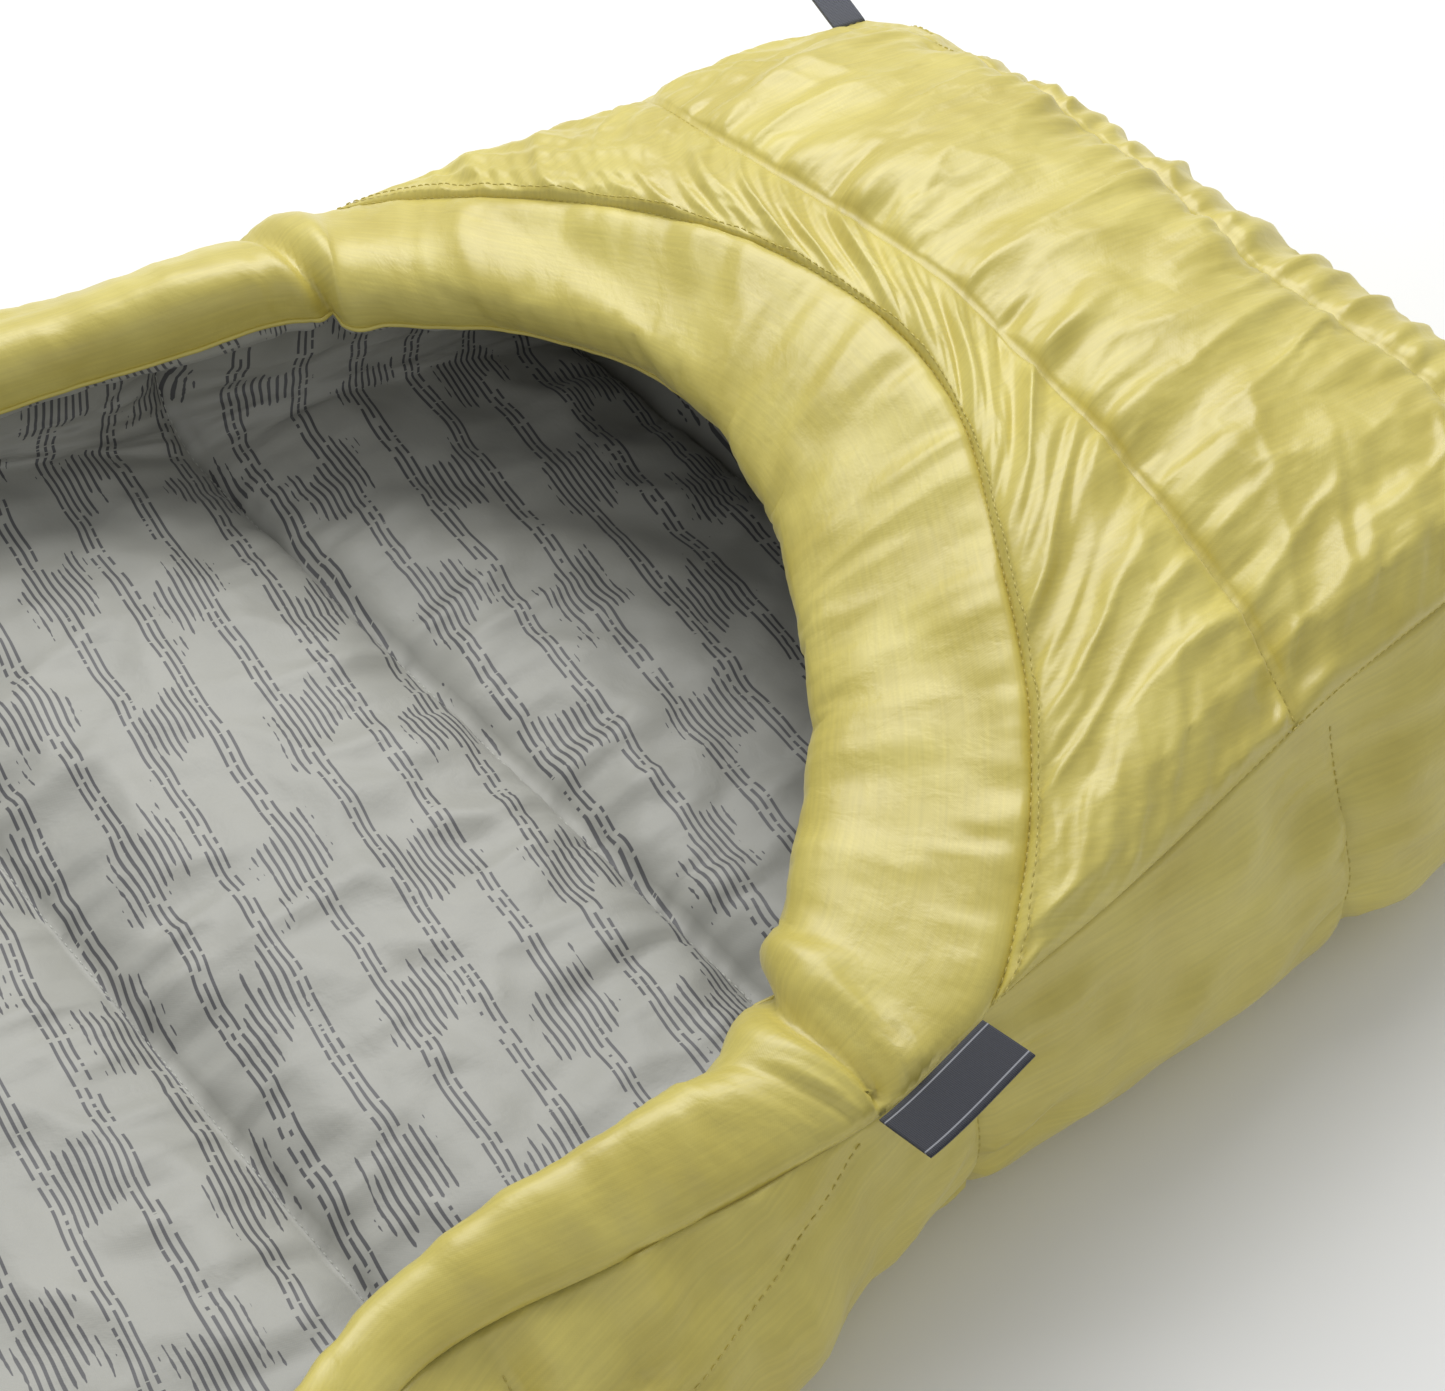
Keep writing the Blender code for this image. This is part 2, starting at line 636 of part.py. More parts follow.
# ---------------------------------------------------------------- label, tabs, snap and loops
def strip(name, start, end, reach, thickness, mat):
    """A flat strip of webbing that hinges on the line from start to end and stands out by "reach"."""
    start, end, reach = (np.asarray(v, float) for v in (start, end, reach))
    half = unit(np.cross(end - start, reach)) * thickness / 2
    edges = [[start, start + reach], [end, end + reach]]
    over = [[p + half for p in row] for row in edges]
    under = [[p - half for p in row] for row in edges]
    return block(name, over, under, mat, hinge=(start + end) / 2)


def make_label():
    """A folded label in the near side seam, at the corner of the foot box's mouth."""
    start, inward, out = rim(MOUTH_SEAM, 1)
    head_end, head_inward, _ = rim(MOUTH_SEAM - LABEL_LENGTH, 1)
    away = unit(-(inward + head_inward)[[0, 1, 2]] * [1, 0, 1])
    wall_out = unit([away[0], 0.0, away[2] - 0.25])
    hinge = [p + wall_out * SEWN_GAP for p in (head_end, start)]
    strip("woven_label", *hinge, wall_out * LABEL_REACH, LABEL_THICKNESS, material("label_weave", CHARCOAL, 0.6))


def make_corner_tab():
    """A folded webbing tab in the far top corner of the foot end."""
    foot, _, _ = rim(FOOT_FACE, -1)
    head, _, _ = rim(FOOT_FACE - CORNER_TAB_WIDTH, -1)
    hinge = [p + np.array([-SEWN_GAP, 0, 0]) for p in (head, foot)]
    reach = unit([-1.0, 0.0, 0.25]) * CORNER_TAB_REACH
    strip("foot_corner_tab", *hinge, reach, WEBBING, material("webbing", CHARCOAL, 0.7))


def tube_edge(y, side):
    """The outermost point of a side tube at y."""
    corner, inward, out, reach = *rim(y, side), side_reach(y)
    ring = np.array(tube_ring(corner, inward, out, reach))
    return ring[np.argmax(side * ring[:, 0])]


def disc(name, centre, profile, mat, hinge):
    """A round piece with (radius, height) rings over its centre."""
    angles = np.linspace(0, 2 * math.pi, 25)[:-1]
    rings = [[centre + [r * math.cos(a), r * math.sin(a), h] for a in angles] for r, h in profile]
    return loft(name, rings, mat, hinge=hinge)


def make_neck_tabs():
    webbing, snap_mat = material("webbing", CHARCOAL, 0.7), material("snap_plastic", SNAP_GREY, 0.35)
    stud = ((SNAP_RADIUS, 0), (SNAP_RADIUS * 0.92, SNAP_BASE), (SNAP_KNOB_RADIUS, SNAP_BASE))
    stud += ((SNAP_KNOB_RADIUS * 0.9, SNAP_BASE + SNAP_KNOB),)
    bore = SNAP_KNOB_RADIUS + 0.0003
    socket = ((SNAP_RADIUS, 0), (SNAP_RADIUS * 0.92, SNAP_BASE + SNAP_KNOB))
    socket += ((bore, SNAP_BASE + SNAP_KNOB), (bore, SNAP_BASE * 0.6))
    for side, word, part, profile in ((1, "near", "socket", socket), (-1, "far", "stud", stud)):
        edge = tube_edge(NECK_TAB_PLACE, side) + [side * SEWN_GAP, 0, 0]
        ends = [edge + [0, dy * NECK_TAB_WIDTH / 2, 0] for dy in (-1, 1)]
        strip(f"neck_tab_{word}", *ends, [side * NECK_TAB_REACH, 0, 0], WEBBING, webbing)
        seat = edge + [side * (NECK_TAB_REACH - SNAP_RADIUS - 0.004), 0, WEBBING / 2 + GAP]
        disc(f"snap_{part}", seat, profile, snap_mat, hinge=edge)


def loop_outline(root, root_height, tip, height):
    """(x, z) points round a loop of webbing: pinched at its root, round at its tip."""
    bend = height / 2
    angles = np.linspace(-math.pi / 2, math.pi / 2, 9)
    arc = [(tip - bend + bend * math.cos(a), bend * math.sin(a)) for a in angles]
    return [(root, -root_height / 2)] + arc + [(root, root_height / 2)]


def make_mattress_loops():
    webbing = material("webbing", CHARCOAL, 0.7)
    outline = loop_outline(0.0, 2 * WEBBING, LOOP_REACH, LOOP_HEIGHT)
    hollow = loop_outline(LOOP_ROOT, WEBBING / 2, LOOP_REACH - WEBBING, LOOP_HEIGHT - 2 * WEBBING)
    for side, word in ((1, "near"), (-1, "far")):
        for number, y in enumerate(LOOP_PLACES, start=1):
            edge = tube_edge(y, side) + [side * SEWN_GAP, 0, 0]
            rings, holes = [], []
            for dy in (-LOOP_WIDTH / 2, LOOP_WIDTH / 2):
                rings.append([edge + [side * x, dy, z] for x, z in outline])
                holes.append([edge + [side * x, dy, z] for x, z in hollow])
            loft(f"mattress_loop_{word}_{number}", rings, webbing, inner_rings=holes, hinge=edge)


def main():
    clear_scene()
    make_skins()
    make_fill()
    make_baffle_walls()
    make_foot_top()
    make_tubes()
    make_head_tube()
    make_foot_end()
    make_label()
    make_corner_tab()
    make_neck_tabs()
    make_mattress_loops()


main()
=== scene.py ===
# %% [markdown]
# # A camp quilt
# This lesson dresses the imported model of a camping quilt. The model gives the size, the places and the
# moving bodies. The cloth, its stuffing, its seams and its print are made here, one piece at a time.
# All lengths are metres, with +Y towards the foot and +Z up.

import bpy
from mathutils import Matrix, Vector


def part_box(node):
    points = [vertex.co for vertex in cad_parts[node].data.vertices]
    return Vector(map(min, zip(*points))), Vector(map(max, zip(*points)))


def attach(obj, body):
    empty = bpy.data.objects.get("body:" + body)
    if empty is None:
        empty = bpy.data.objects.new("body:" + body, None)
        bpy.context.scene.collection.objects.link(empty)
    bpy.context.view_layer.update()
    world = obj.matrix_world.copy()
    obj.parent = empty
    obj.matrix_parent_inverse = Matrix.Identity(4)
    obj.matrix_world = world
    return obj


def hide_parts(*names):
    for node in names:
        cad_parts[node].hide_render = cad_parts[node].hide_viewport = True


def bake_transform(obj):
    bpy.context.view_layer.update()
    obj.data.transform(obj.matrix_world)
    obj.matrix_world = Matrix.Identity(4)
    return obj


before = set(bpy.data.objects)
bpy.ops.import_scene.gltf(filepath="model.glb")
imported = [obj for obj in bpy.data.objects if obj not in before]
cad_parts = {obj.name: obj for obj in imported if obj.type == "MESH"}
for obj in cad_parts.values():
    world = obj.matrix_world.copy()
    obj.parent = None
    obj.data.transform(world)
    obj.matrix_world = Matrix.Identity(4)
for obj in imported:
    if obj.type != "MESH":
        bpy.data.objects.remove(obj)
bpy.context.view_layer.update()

import math

import bmesh
import bpy
import numpy as np
from mathutils import Matrix, Vector, noise

scene = bpy.context.scene

# %% [markdown]
# ## Camera
# The quilt is seen from above its near side, towards the closed foot end. A camera can be turned by a
# constraint that tracks a target. Here its three axes are worked out from an azimuth and an elevation and
# set as one matrix, which needs nothing else in the scene. A long lens keeps the sides nearly parallel.

# %% Camera
VIEW_TARGET = Vector((-0.007, 0.658, 0.0))
VIEW_DISTANCE = 1.30
VIEW_AZIMUTH, VIEW_ELEVATION = math.radians(51), math.radians(45)
SENSOR_WIDTH, LENS = 36.0, 69.76  # millimetres


def place_camera():
    back = Vector((
        math.sin(VIEW_AZIMUTH) * math.cos(VIEW_ELEVATION),
        -math.cos(VIEW_AZIMUTH) * math.cos(VIEW_ELEVATION),
        math.sin(VIEW_ELEVATION),
    ))
    right = Vector((math.cos(VIEW_AZIMUTH), math.sin(VIEW_AZIMUTH), 0.0))
    up = back.cross(right)
    data = bpy.data.cameras.new("camera")
    data.sensor_width, data.lens = SENSOR_WIDTH, LENS
    camera = bpy.data.objects.new("camera", data)
    turn = Matrix((right, up, back)).transposed().to_4x4()
    camera.matrix_world = Matrix.Translation(VIEW_TARGET + VIEW_DISTANCE * back) @ turn
    scene.collection.objects.link(camera)
    scene.camera = camera
    return camera


camera = place_camera()
print("camera at", [round(c, 3) for c in camera.matrix_world.translation])

# %% [markdown]
# ## Colours and shader nodes
# A cloth's colour is easiest to judge as the hex code that a screen shows, but Blender's sockets take
# linear light, so one function turns the one into the other. A material is a small graph of nodes. It could
# be clicked together, and a second function writes one node of it with its settings and its links.

# %% Colours and shader nodes
def linear(hex_colour):
    """Turns an sRGB hex colour into the linear RGBA that Blender's sockets want."""
    parts = [int(hex_colour[i:i + 2], 16) / 255 for i in (1, 3, 5)]
    return tuple(c / 12.92 if c <= 0.04045 else ((c + 0.055) / 1.055) ** 2.4 for c in parts) + (1.0,)


def add_node(tree, kind, settings=None, **inputs):
    """Adds one shader node. Settings are its own properties; inputs are values or sockets to link."""
    node = tree.nodes.new(kind)
    for key, value in (settings or {}).items():
        setattr(node, key, value)
    for key, value in inputs.items():
        name = int(key[1:]) if key[0] == "i" and key[1:].isdigit() else key.replace("_", " ")
        socket = node.inputs[name]
        if isinstance(value, bpy.types.NodeSocket):
            tree.links.new(value, socket)
        else:
            socket.default_value = value
    return node


# %% [markdown]
# ## Floor and light
# The quilt lies on white paper in a studio. One big soft box hangs high over the far side and draws the
# broad highlights on the shell, and a weak one near the camera opens the shadows. An image of a studio
# could light it too, but two lamps and a plain pale sky are quick to change and need no file.

# %% Floor
FLOOR_SIZE, FLOOR_HEIGHT = 30.0, -0.0008  # just under the shell, so that the two faces never coincide


def make_floor():
    bpy.ops.object.select_all(action="DESELECT")
    bpy.ops.mesh.primitive_plane_add(size=FLOOR_SIZE, location=(0, 0, FLOOR_HEIGHT))
    floor = bpy.context.object
    floor.name = "floor"
    paper = bpy.data.materials.new("studio paper")
    paper.use_nodes = True
    shader = paper.node_tree.nodes["Principled BSDF"]
    shader.inputs["Base Color"].default_value = linear("#F4F4F3")
    shader.inputs["Roughness"].default_value = 0.9
    floor.data.materials.append(paper)


make_floor()
print("floor laid at", FLOOR_HEIGHT)

# %% Lights
# Name, place, the point it looks at, size, watts.
SOFT_BOXES = (
    ("key soft box", (-1.3, 1.3, 2.0), (0.0, 0.55, 0.1), (2.2, 1.6), 52),
    ("front soft box", (1.8, -0.7, 1.7), (0.1, 0.55, 0.1), (1.8, 1.2), 3),
)
SKY_COLOUR, SKY_STRENGTH = "#F2F4F7", 0.50


def soft_box(name, place, aim, size, watts):
    data = bpy.data.lights.new(name, "AREA")
    data.shape, data.size, data.size_y, data.energy = "RECTANGLE", size[0], size[1], watts
    light = bpy.data.objects.new(name, data)
    light.location = place
    light.rotation_euler = (Vector(aim) - Vector(place)).to_track_quat("-Z", "Y").to_euler()
    scene.collection.objects.link(light)


def light_the_stage():
    for box in SOFT_BOXES:
        soft_box(*box)
    world = bpy.data.worlds.new("studio")
    scene.world = world
    world.use_nodes = True
    background = world.node_tree.nodes["Background"]
    background.inputs["Color"].default_value = linear(SKY_COLOUR)
    background.inputs["Strength"].default_value = SKY_STRENGTH
    scene.view_settings.view_transform = "Standard"


light_the_stage()

# %% [markdown]
# ## The shape of the quilt
# A quilt is cut from flat cloth along a few lines and pulled into shape by its seams. So each surface
# below is a grid of points worked out from such lines: the two long edges, which curl up towards the foot
# box, the mouth of the box, and the stitch lines over its top. It could be sculpted by hand, but a few
# smooth curves are easy to correct, and every grid row then lies on a seam or follows one.

# %% Smooth curves
def smooth_curve(knots, values, at):
    """A curve through values at rising knots, read at other places (a cubic Hermite spline)."""
    knots, values, at = np.asarray(knots, float), np.asarray(values, float), np.asarray(at, float)
    flat = values.ndim == 1
    values = values[:, None] if flat else values
    slope = np.diff(values, axis=0) / np.diff(knots)[:, None]
    tangent = np.vstack([slope[:1], (slope[:-1] + slope[1:]) / 2, slope[-1:]])
    at = np.clip(at, knots[0], knots[-1])
    cell = np.clip(np.searchsorted(knots, at, side="right") - 1, 0, len(knots) - 2)
    width = (knots[cell + 1] - knots[cell])
    t = (at - knots[cell]) / width
    t, width = t[..., None], width[..., None]
    a, b = values[cell], values[cell + 1]
    curve = (
        (2 * t**3 - 3 * t**2 + 1) * a + (t**3 - 2 * t**2 + t) * width * tangent[cell]
        + (-2 * t**3 + 3 * t**2) * b + (t**3 - t**2) * width * tangent[cell + 1]
    )
    return curve[..., 0] if flat else curve


def smooth_path(points, count):
    """Evenly spaced points along a smooth curve through the given ones."""
    points = np.asarray(points, float)
    knots = np.concatenate([[0], np.cumsum(np.linalg.norm(np.diff(points, axis=0), axis=1))])
    fine = smooth_curve(knots, points, np.linspace(0, knots[-1], 60 * len(points)))
    length = np.concatenate([[0], np.cumsum(np.linalg.norm(np.diff(fine, axis=0), axis=1))])
    even = np.linspace(0, length[-1], count)
    return np.stack([np.interp(even, length, fine[:, k]) for k in range(3)], axis=1)


def ease(low, high, x):
    """0 below low, 1 above high, and smooth between."""
    t = np.clip((np.asarray(x, float) - low) / (high - low), 0, 1)
    return t * t * (3 - 2 * t)


# %% [markdown]
# ## Seams and edges
# Cross seams part the quilt into nine chambers. Their places are read from the model's own baffle walls, so
# that the stitches lie over them. The cloth's two long edges lie flat at the head and curl up into walls
# at the foot. Each is a table of cross sections: a flat floor, an arc and a straight rise, blended between
# its rows. That gives a section of known length at every place, as a strip of real cloth has.

# %% Cross seams
HEAD_FACE, FOOT_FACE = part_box("fill_chamber_9")[0][1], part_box("foot_end_lining")[0][1]
HALF_WALL = 0.0006  # half a baffle wall's thickness
SEAMS = [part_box(f"baffle_wall_{k}")[0][1] + HALF_WALL for k in (1, 2, 3, 4, 6, 7, 8)]
CHAMBER_LENGTH = 0.2045
FOLD_SEAM = SEAMS[3] - CHAMBER_LENGTH  # the quilt folds here, where no wall stands
SEAMS.insert(4, FOLD_SEAM)
LOFT, SEAM_HEIGHT, RIM = 0.040, 0.013, 0.028  # thickness mid-chamber, at a cross seam and at the edge
print("cross seams at", [round(s, 3) for s in SEAMS])

# %% Long edges
# One row per place along the quilt: y, flat floor, radius of the curl, its angle, straight rise.
NEAR_EDGE = np.array((
    (-0.929, 0.490, 0.090, 1, 0.060), (-0.278, 0.470, 0.090, 1, 0.060), (-0.064, 0.425, 0.090, 8, 0.050),
    (-0.008, 0.410, 0.085, 17, 0.044), (0.100, 0.365, 0.070, 60, 0.034), (0.200, 0.322, 0.042, 118, 0.048),
    (0.310, 0.300, 0.028, 148, 0.070), (0.400, 0.276, 0.037, 138, 0.046), (0.447, 0.264, 0.042, 124, 0.042),
    (0.494, 0.245, 0.048, 104, 0.046), (0.559, 0.241, 0.050, 104, 0.058), (0.633, 0.241, 0.050, 108, 0.062),
    (0.754, 0.241, 0.050, 113, 0.076), (0.823, 0.238, 0.050, 113, 0.080), (0.931, 0.195, 0.055, 100, 0.075),
))
FAR_EDGE = np.array((
    (-0.929, 0.490, 0.090, 1, 0.060), (-0.278, 0.470, 0.090, 1, 0.060), (-0.064, 0.450, 0.090, 8, 0.050),
    (0.140, 0.415, 0.070, 48, 0.032), (0.252, 0.385, 0.052, 78, 0.030), (0.345, 0.355, 0.046, 96, 0.032),
    (0.447, 0.318, 0.046, 104, 0.034), (0.503, 0.296, 0.048, 104, 0.038), (0.559, 0.272, 0.050, 106, 0.046),
    (0.652, 0.250, 0.052, 110, 0.052), (0.754, 0.232, 0.050, 115, 0.066), (0.823, 0.226, 0.050, 115, 0.072),
    (0.931, 0.188, 0.055, 102, 0.073),
))
RIM_LIFT = 0.010  # how far the stuffed edge lifts the cloth it is sewn to


def edge_at(y, side):
    """(floor, radius, curl, rise) of one edge at each y. side is 1 near and -1 far."""
    table = NEAR_EDGE if side > 0 else FAR_EDGE
    floor, radius, curl, rise = (smooth_curve(table[:, 0], table[:, k], y) for k in (1, 2, 3, 4))
    return floor, radius, np.radians(curl), rise


def rim_at(y, side):
    """The sewn edge of the shell at each y."""
    y = np.asarray(y, float)
    floor, radius, curl, rise = edge_at(y, side)
    x = floor + radius * np.sin(curl) + rise * np.cos(curl)
    z = radius * (1 - np.cos(curl)) + rise * np.sin(curl) + RIM_LIFT
    return np.stack([side * x, y, z], axis=-1)


def pillow(y):
    """0 on a cross seam and 1 in the middle of a chamber, rising steeply from the seam."""
    marks = np.sort(np.array([HEAD_FACE] + SEAMS + [FOOT_FACE]))
    cell = np.clip(np.searchsorted(marks, y, side="right") - 1, 0, len(marks) - 2)
    t = np.clip((y - marks[cell]) / (marks[cell + 1] - marks[cell]), 0, 1)
    return np.clip(1 - np.abs(2 * t - 1) ** 2.4, 0, 1) ** 0.6


print("the near edge stands", round(float(rim_at([0.7], 1)[0, 2]), 3), "m high beside the foot box")

# %% [markdown]
# ## The stuffed edge's own curves
# A roll of shell cloth, stuffed with down, runs from the head up one side, round the mouth of the foot
# box and back down the other side. It is described by its two sewn lines, seam and lip, and by how far it
# bulges over the line between them. At the mouth both lines are curves in space. At the sides they follow
# the shell's edge, and the roll turns over as the wall stands up.

# %% Mouth and side tubes
# The seam that the stuffed edge is sewn along, and the line where its yellow cloth meets the lining.
MOUTH_SEAM = np.array((
    (0.254, 0.587, 0.142), (0.202, 0.639, 0.161), (0.141, 0.679, 0.177), (0.064, 0.722, 0.188),
    (-0.009, 0.735, 0.190), (-0.092, 0.725, 0.184), (-0.190, 0.693, 0.162),
))
MOUTH_SEAM = np.vstack([rim_at([0.494, 0.552], 1), MOUTH_SEAM, rim_at([0.640], -1)])
MOUTH_LIP = np.array((
    (0.2265, 0.459, 0.103), (0.196, 0.521, 0.108), (0.174, 0.552, 0.112), (0.142, 0.588, 0.118),
    (0.110, 0.614, 0.125), (0.065, 0.642, 0.133), (0.017, 0.661, 0.138), (-0.046, 0.677, 0.138),
    (-0.136, 0.663, 0.128), (-0.214, 0.607, 0.118),
))
# Side tubes, from the seam to the lip: y, direction (0 is outwards, 90 up, 180 inwards), width, bulge.
NEAR_TUBE = np.array((
    (-0.929, 68, 0.038, 0.042), (-0.066, 74, 0.040, 0.038), (0.100, 110, 0.042, 0.032), (0.200, 160, 0.036, 0.024),
    (0.310, 190, 0.032, 0.016), (0.350, 181, 0.036, 0.016), (0.434, 173, 0.048, 0.018),
))
FAR_TUBE = np.array((
    (-0.929, 68, 0.038, 0.042), (-0.066, 84, 0.042, 0.036), (0.100, 120, 0.050, 0.030), (0.250, 165, 0.064, 0.026),
    (0.420, 182, 0.066, 0.024), (0.575, 180, 0.066, 0.024),
))
MOUTH_BULGE = 0.021
HEAD_ROUND = 0.029  # the tubes' ends are rounded off over this length
# Where the side tubes' knots lie along the quilt.
HEAD_PLACES = tuple(HEAD_FACE + step for step in (-0.028, -0.022, -0.010, 0.004))
NEAR_PLACES = HEAD_PLACES + (-0.75, -0.5, -0.27, -0.066, 0.06, 0.16, 0.24, 0.31, 0.37, 0.43)
FAR_PLACES = (0.57, 0.50, 0.42, 0.345, 0.26, 0.16, 0.06, -0.066, -0.27, -0.5, -0.75) + HEAD_PLACES[::-1]


def side_tube(y, side):
    """Seam, lip and bulge of a side tube at each y."""
    table = NEAR_TUBE if side > 0 else FAR_TUBE
    turn, width, bulge = (smooth_curve(table[:, 0], table[:, k], y) for k in (1, 2, 3))
    turn = np.radians(turn)
    end = np.sqrt(np.clip(1 - (np.clip(HEAD_FACE - y, 0, None) / HEAD_ROUND) ** 2, 0.05, 1))
    width, bulge = width * (0.6 + 0.4 * end), bulge * end
    seam = rim_at(y, side)
    return seam, seam + np.stack([side * width * np.cos(turn), 0 * y, width * np.sin(turn)], axis=-1), bulge


def edge_tube():
    """Knots of the whole stuffed edge, from the near head corner round the mouth to the far corner."""
    near, far = side_tube(np.array(NEAR_PLACES), 1), side_tube(np.array(FAR_PLACES), -1)
    seam = np.vstack([near[0], MOUTH_SEAM, far[0]])
    lip = np.vstack([near[1], MOUTH_LIP, far[1]])
    bulge = np.concatenate([near[2], np.full(len(MOUTH_SEAM), MOUTH_BULGE), far[2]])
    knots = np.concatenate([[0], np.cumsum(np.linalg.norm(np.diff(seam, axis=0), axis=1))])
    return knots, seam, lip, bulge


tube_knots, tube_seam, tube_lip, tube_bulge = edge_tube()
corner_at, mouth_start = tube_knots[len(NEAR_PLACES)], tube_knots[len(NEAR_PLACES) + 1]
mouth_end = tube_knots[len(NEAR_PLACES) + len(MOUTH_SEAM) - 1]
SEAM_BLEND = 0.03  # the two kinds of sewn line pass into each other over this length


def seam_of_edge(at):
    """The sewn line of the stuffed edge: the shell's own edge at the sides and the mouth's curve between."""
    line = smooth_curve(tube_knots, tube_seam, at)
    near = (1 - ease(mouth_start - SEAM_BLEND, mouth_start, at))[:, None]
    far = ease(mouth_end, mouth_end + SEAM_BLEND, at)[:, None]
    return line + near * (rim_at(line[:, 1], 1) - line) + far * (rim_at(line[:, 1], -1) - line)


print("the stuffed edge is", round(float(tube_knots[-1]), 2), "m long; its mouth runs from",
      round(float(mouth_start), 3), "to", round(float(mouth_end), 3))

# %% [markdown]
# ## Grids of points as meshes
# Every cloth piece is a grid of points, and a grid is quick to turn into a mesh: its faces are the
# squares between four neighbours. Each point also keeps its place on the flat cloth, in metres, as a UV
# map. The weave and the print are drawn on that, so they keep their real size and follow the cloth.

# %% Mesh helpers
def new_piece(name, points, faces, uv, face_material=None, materials=()):
    """Makes one mesh object from points, faces and a place on the flat cloth (uv, in metres)."""
    mesh = bpy.data.meshes.new(name)
    mesh.from_pydata([tuple(p) for p in points], [], [tuple(int(i) for i in f) for f in faces])
    layer = mesh.uv_layers.new(name="cloth")
    corner = np.empty(len(mesh.loops), np.int32)
    mesh.loops.foreach_get("vertex_index", corner)
    layer.data.foreach_set("uv", np.asarray(uv, np.float32)[corner].ravel())
    for material in materials:
        mesh.materials.append(material)
    if face_material is not None:
        mesh.polygons.foreach_set("material_index", np.asarray(face_material, np.int32))
    mesh.polygons.foreach_set("use_smooth", np.ones(len(mesh.polygons), bool))
    mesh.update()
    piece = bpy.data.objects.new(name, mesh)
    scene.collection.objects.link(piece)
    return piece


def grid_faces(rows, columns, start=0, flip=False, wrap=False):
    """The four-sided faces of a grid of points kept row by row."""
    across = columns if wrap else columns - 1
    i, j = np.meshgrid(np.arange(rows - 1), np.arange(across), indexing="ij")
    i, j = i.ravel(), j.ravel()
    k = (j + 1) % columns
    quads = np.stack([i * columns + j, i * columns + k, (i + 1) * columns + k, (i + 1) * columns + j], axis=1)
    return start + (quads[:, ::-1] if flip else quads)


def border(rows, columns):
    """The grid's outer points in order, once round."""
    top = list(range(columns))
    right = [i * columns + columns - 1 for i in range(1, rows)]
    bottom = [(rows - 1) * columns + j for j in range(columns - 2, -1, -1)]
    left = [i * columns for i in range(rows - 2, 0, -1)]
    return np.array(top + right + bottom + left)


def normals_of(points):
    """Unit normals of a grid of points (rows, columns, 3)."""
    normal = np.cross(np.gradient(points, axis=0), np.gradient(points, axis=1))
    return normal / np.maximum(np.linalg.norm(normal, axis=-1, keepdims=True), 1e-12)


def normals_round(rings):
    """Unit outward normals of rings of points that close on themselves."""
    ahead = np.roll(rings, -1, axis=1) - np.roll(rings, 1, axis=1)
    normal = np.cross(ahead, np.gradient(rings, axis=0))
    normal /= np.maximum(np.linalg.norm(normal, axis=-1, keepdims=True), 1e-12)
    outwards = ((rings - rings.mean(axis=1, keepdims=True)) * normal).sum(axis=-1).mean()
    return normal * np.sign(outwards)


def lengths_along(points, axis):
    """Distance gone along one direction of a grid of points."""
    step = np.linalg.norm(np.diff(points, axis=axis), axis=-1)
    start = np.zeros_like(np.take(step, [0], axis=axis))
    return np.concatenate([start, np.cumsum(step, axis=axis)], axis=axis)


# %% [markdown]
# ## Wrinkled cloth
# A quilted panel is cut flat and a little larger than the seams it is sewn to. The thread gathers the
# spare cloth, the filling blows it up, and it buckles into fine puckers by the stitches and longer
# folds away from them. Blender's cloth does the same when its rest lengths come from a larger cut and its
# seams are pinned, so the wrinkles below are found by simulation. The mouth and the seams hold still, and
# a limit on how far a point may move keeps the panel inside the quilt.

# %% Cloth simulation
CLOTH_FRAMES = 18  # the folds settle after about this many
CLOTH_STIFFNESS, CLOTH_BENDING, POINT_MASS = 25.0, 0.02, 0.004


def relax_cloth(points, faces, sewn, cut, pressure, limit=0.014):
    """Lets a sewn sheet find its wrinkles: sewn is 1 where it is stitched, and cut is its size unsewn."""
    mesh = bpy.data.meshes.new("cloth at work")
    mesh.from_pydata([tuple(p) for p in points], [], [tuple(int(i) for i in f) for f in faces])
    sheet = bpy.data.objects.new("cloth at work", mesh)
    scene.collection.objects.link(sheet)
    sheet.shape_key_add(name="Basis")
    flat = sheet.shape_key_add(name="cut")
    flat.data.foreach_set("co", np.asarray(cut, np.float32).ravel())
    group = sheet.vertex_groups.new(name="sewn")
    for weight in np.unique(np.round(sewn, 1)):
        if weight > 0:
            group.add(np.flatnonzero(np.round(sewn, 1) == weight).tolist(), float(weight), "REPLACE")
    cloth = sheet.modifiers.new("cloth", "CLOTH")
    cloth.settings.vertex_group_mass = "sewn"
    cloth.settings.rest_shape_key = flat
    cloth.settings.quality = 4
    cloth.settings.mass = POINT_MASS
    cloth.settings.tension_stiffness = cloth.settings.compression_stiffness = CLOTH_STIFFNESS
    cloth.settings.shear_stiffness = CLOTH_STIFFNESS / 3
    cloth.settings.bending_stiffness = CLOTH_BENDING
    cloth.settings.air_damping = 1.0
    cloth.settings.use_pressure = True
    cloth.settings.uniform_pressure_force = pressure
    cloth.settings.effector_weights.gravity = 0.0
    cloth.collision_settings.use_collision = False
    cloth.point_cache.frame_start, cloth.point_cache.frame_end = 1, CLOTH_FRAMES
    for at in range(1, CLOTH_FRAMES + 1):
        scene.frame_set(at)
    seen = sheet.evaluated_get(bpy.context.evaluated_depsgraph_get()).to_mesh()
    moved = np.empty(len(points) * 3, np.float32)
    seen.vertices.foreach_get("co", moved)
    moved = moved.reshape(-1, 3).astype(float)
    bpy.data.objects.remove(sheet)
    bpy.data.meshes.remove(mesh)
    scene.frame_set(1)
    shift = moved - points
    size = np.linalg.norm(shift, axis=1, keepdims=True)
    return points + shift * (limit * np.tanh(size / limit) / np.maximum(size, 1e-9))


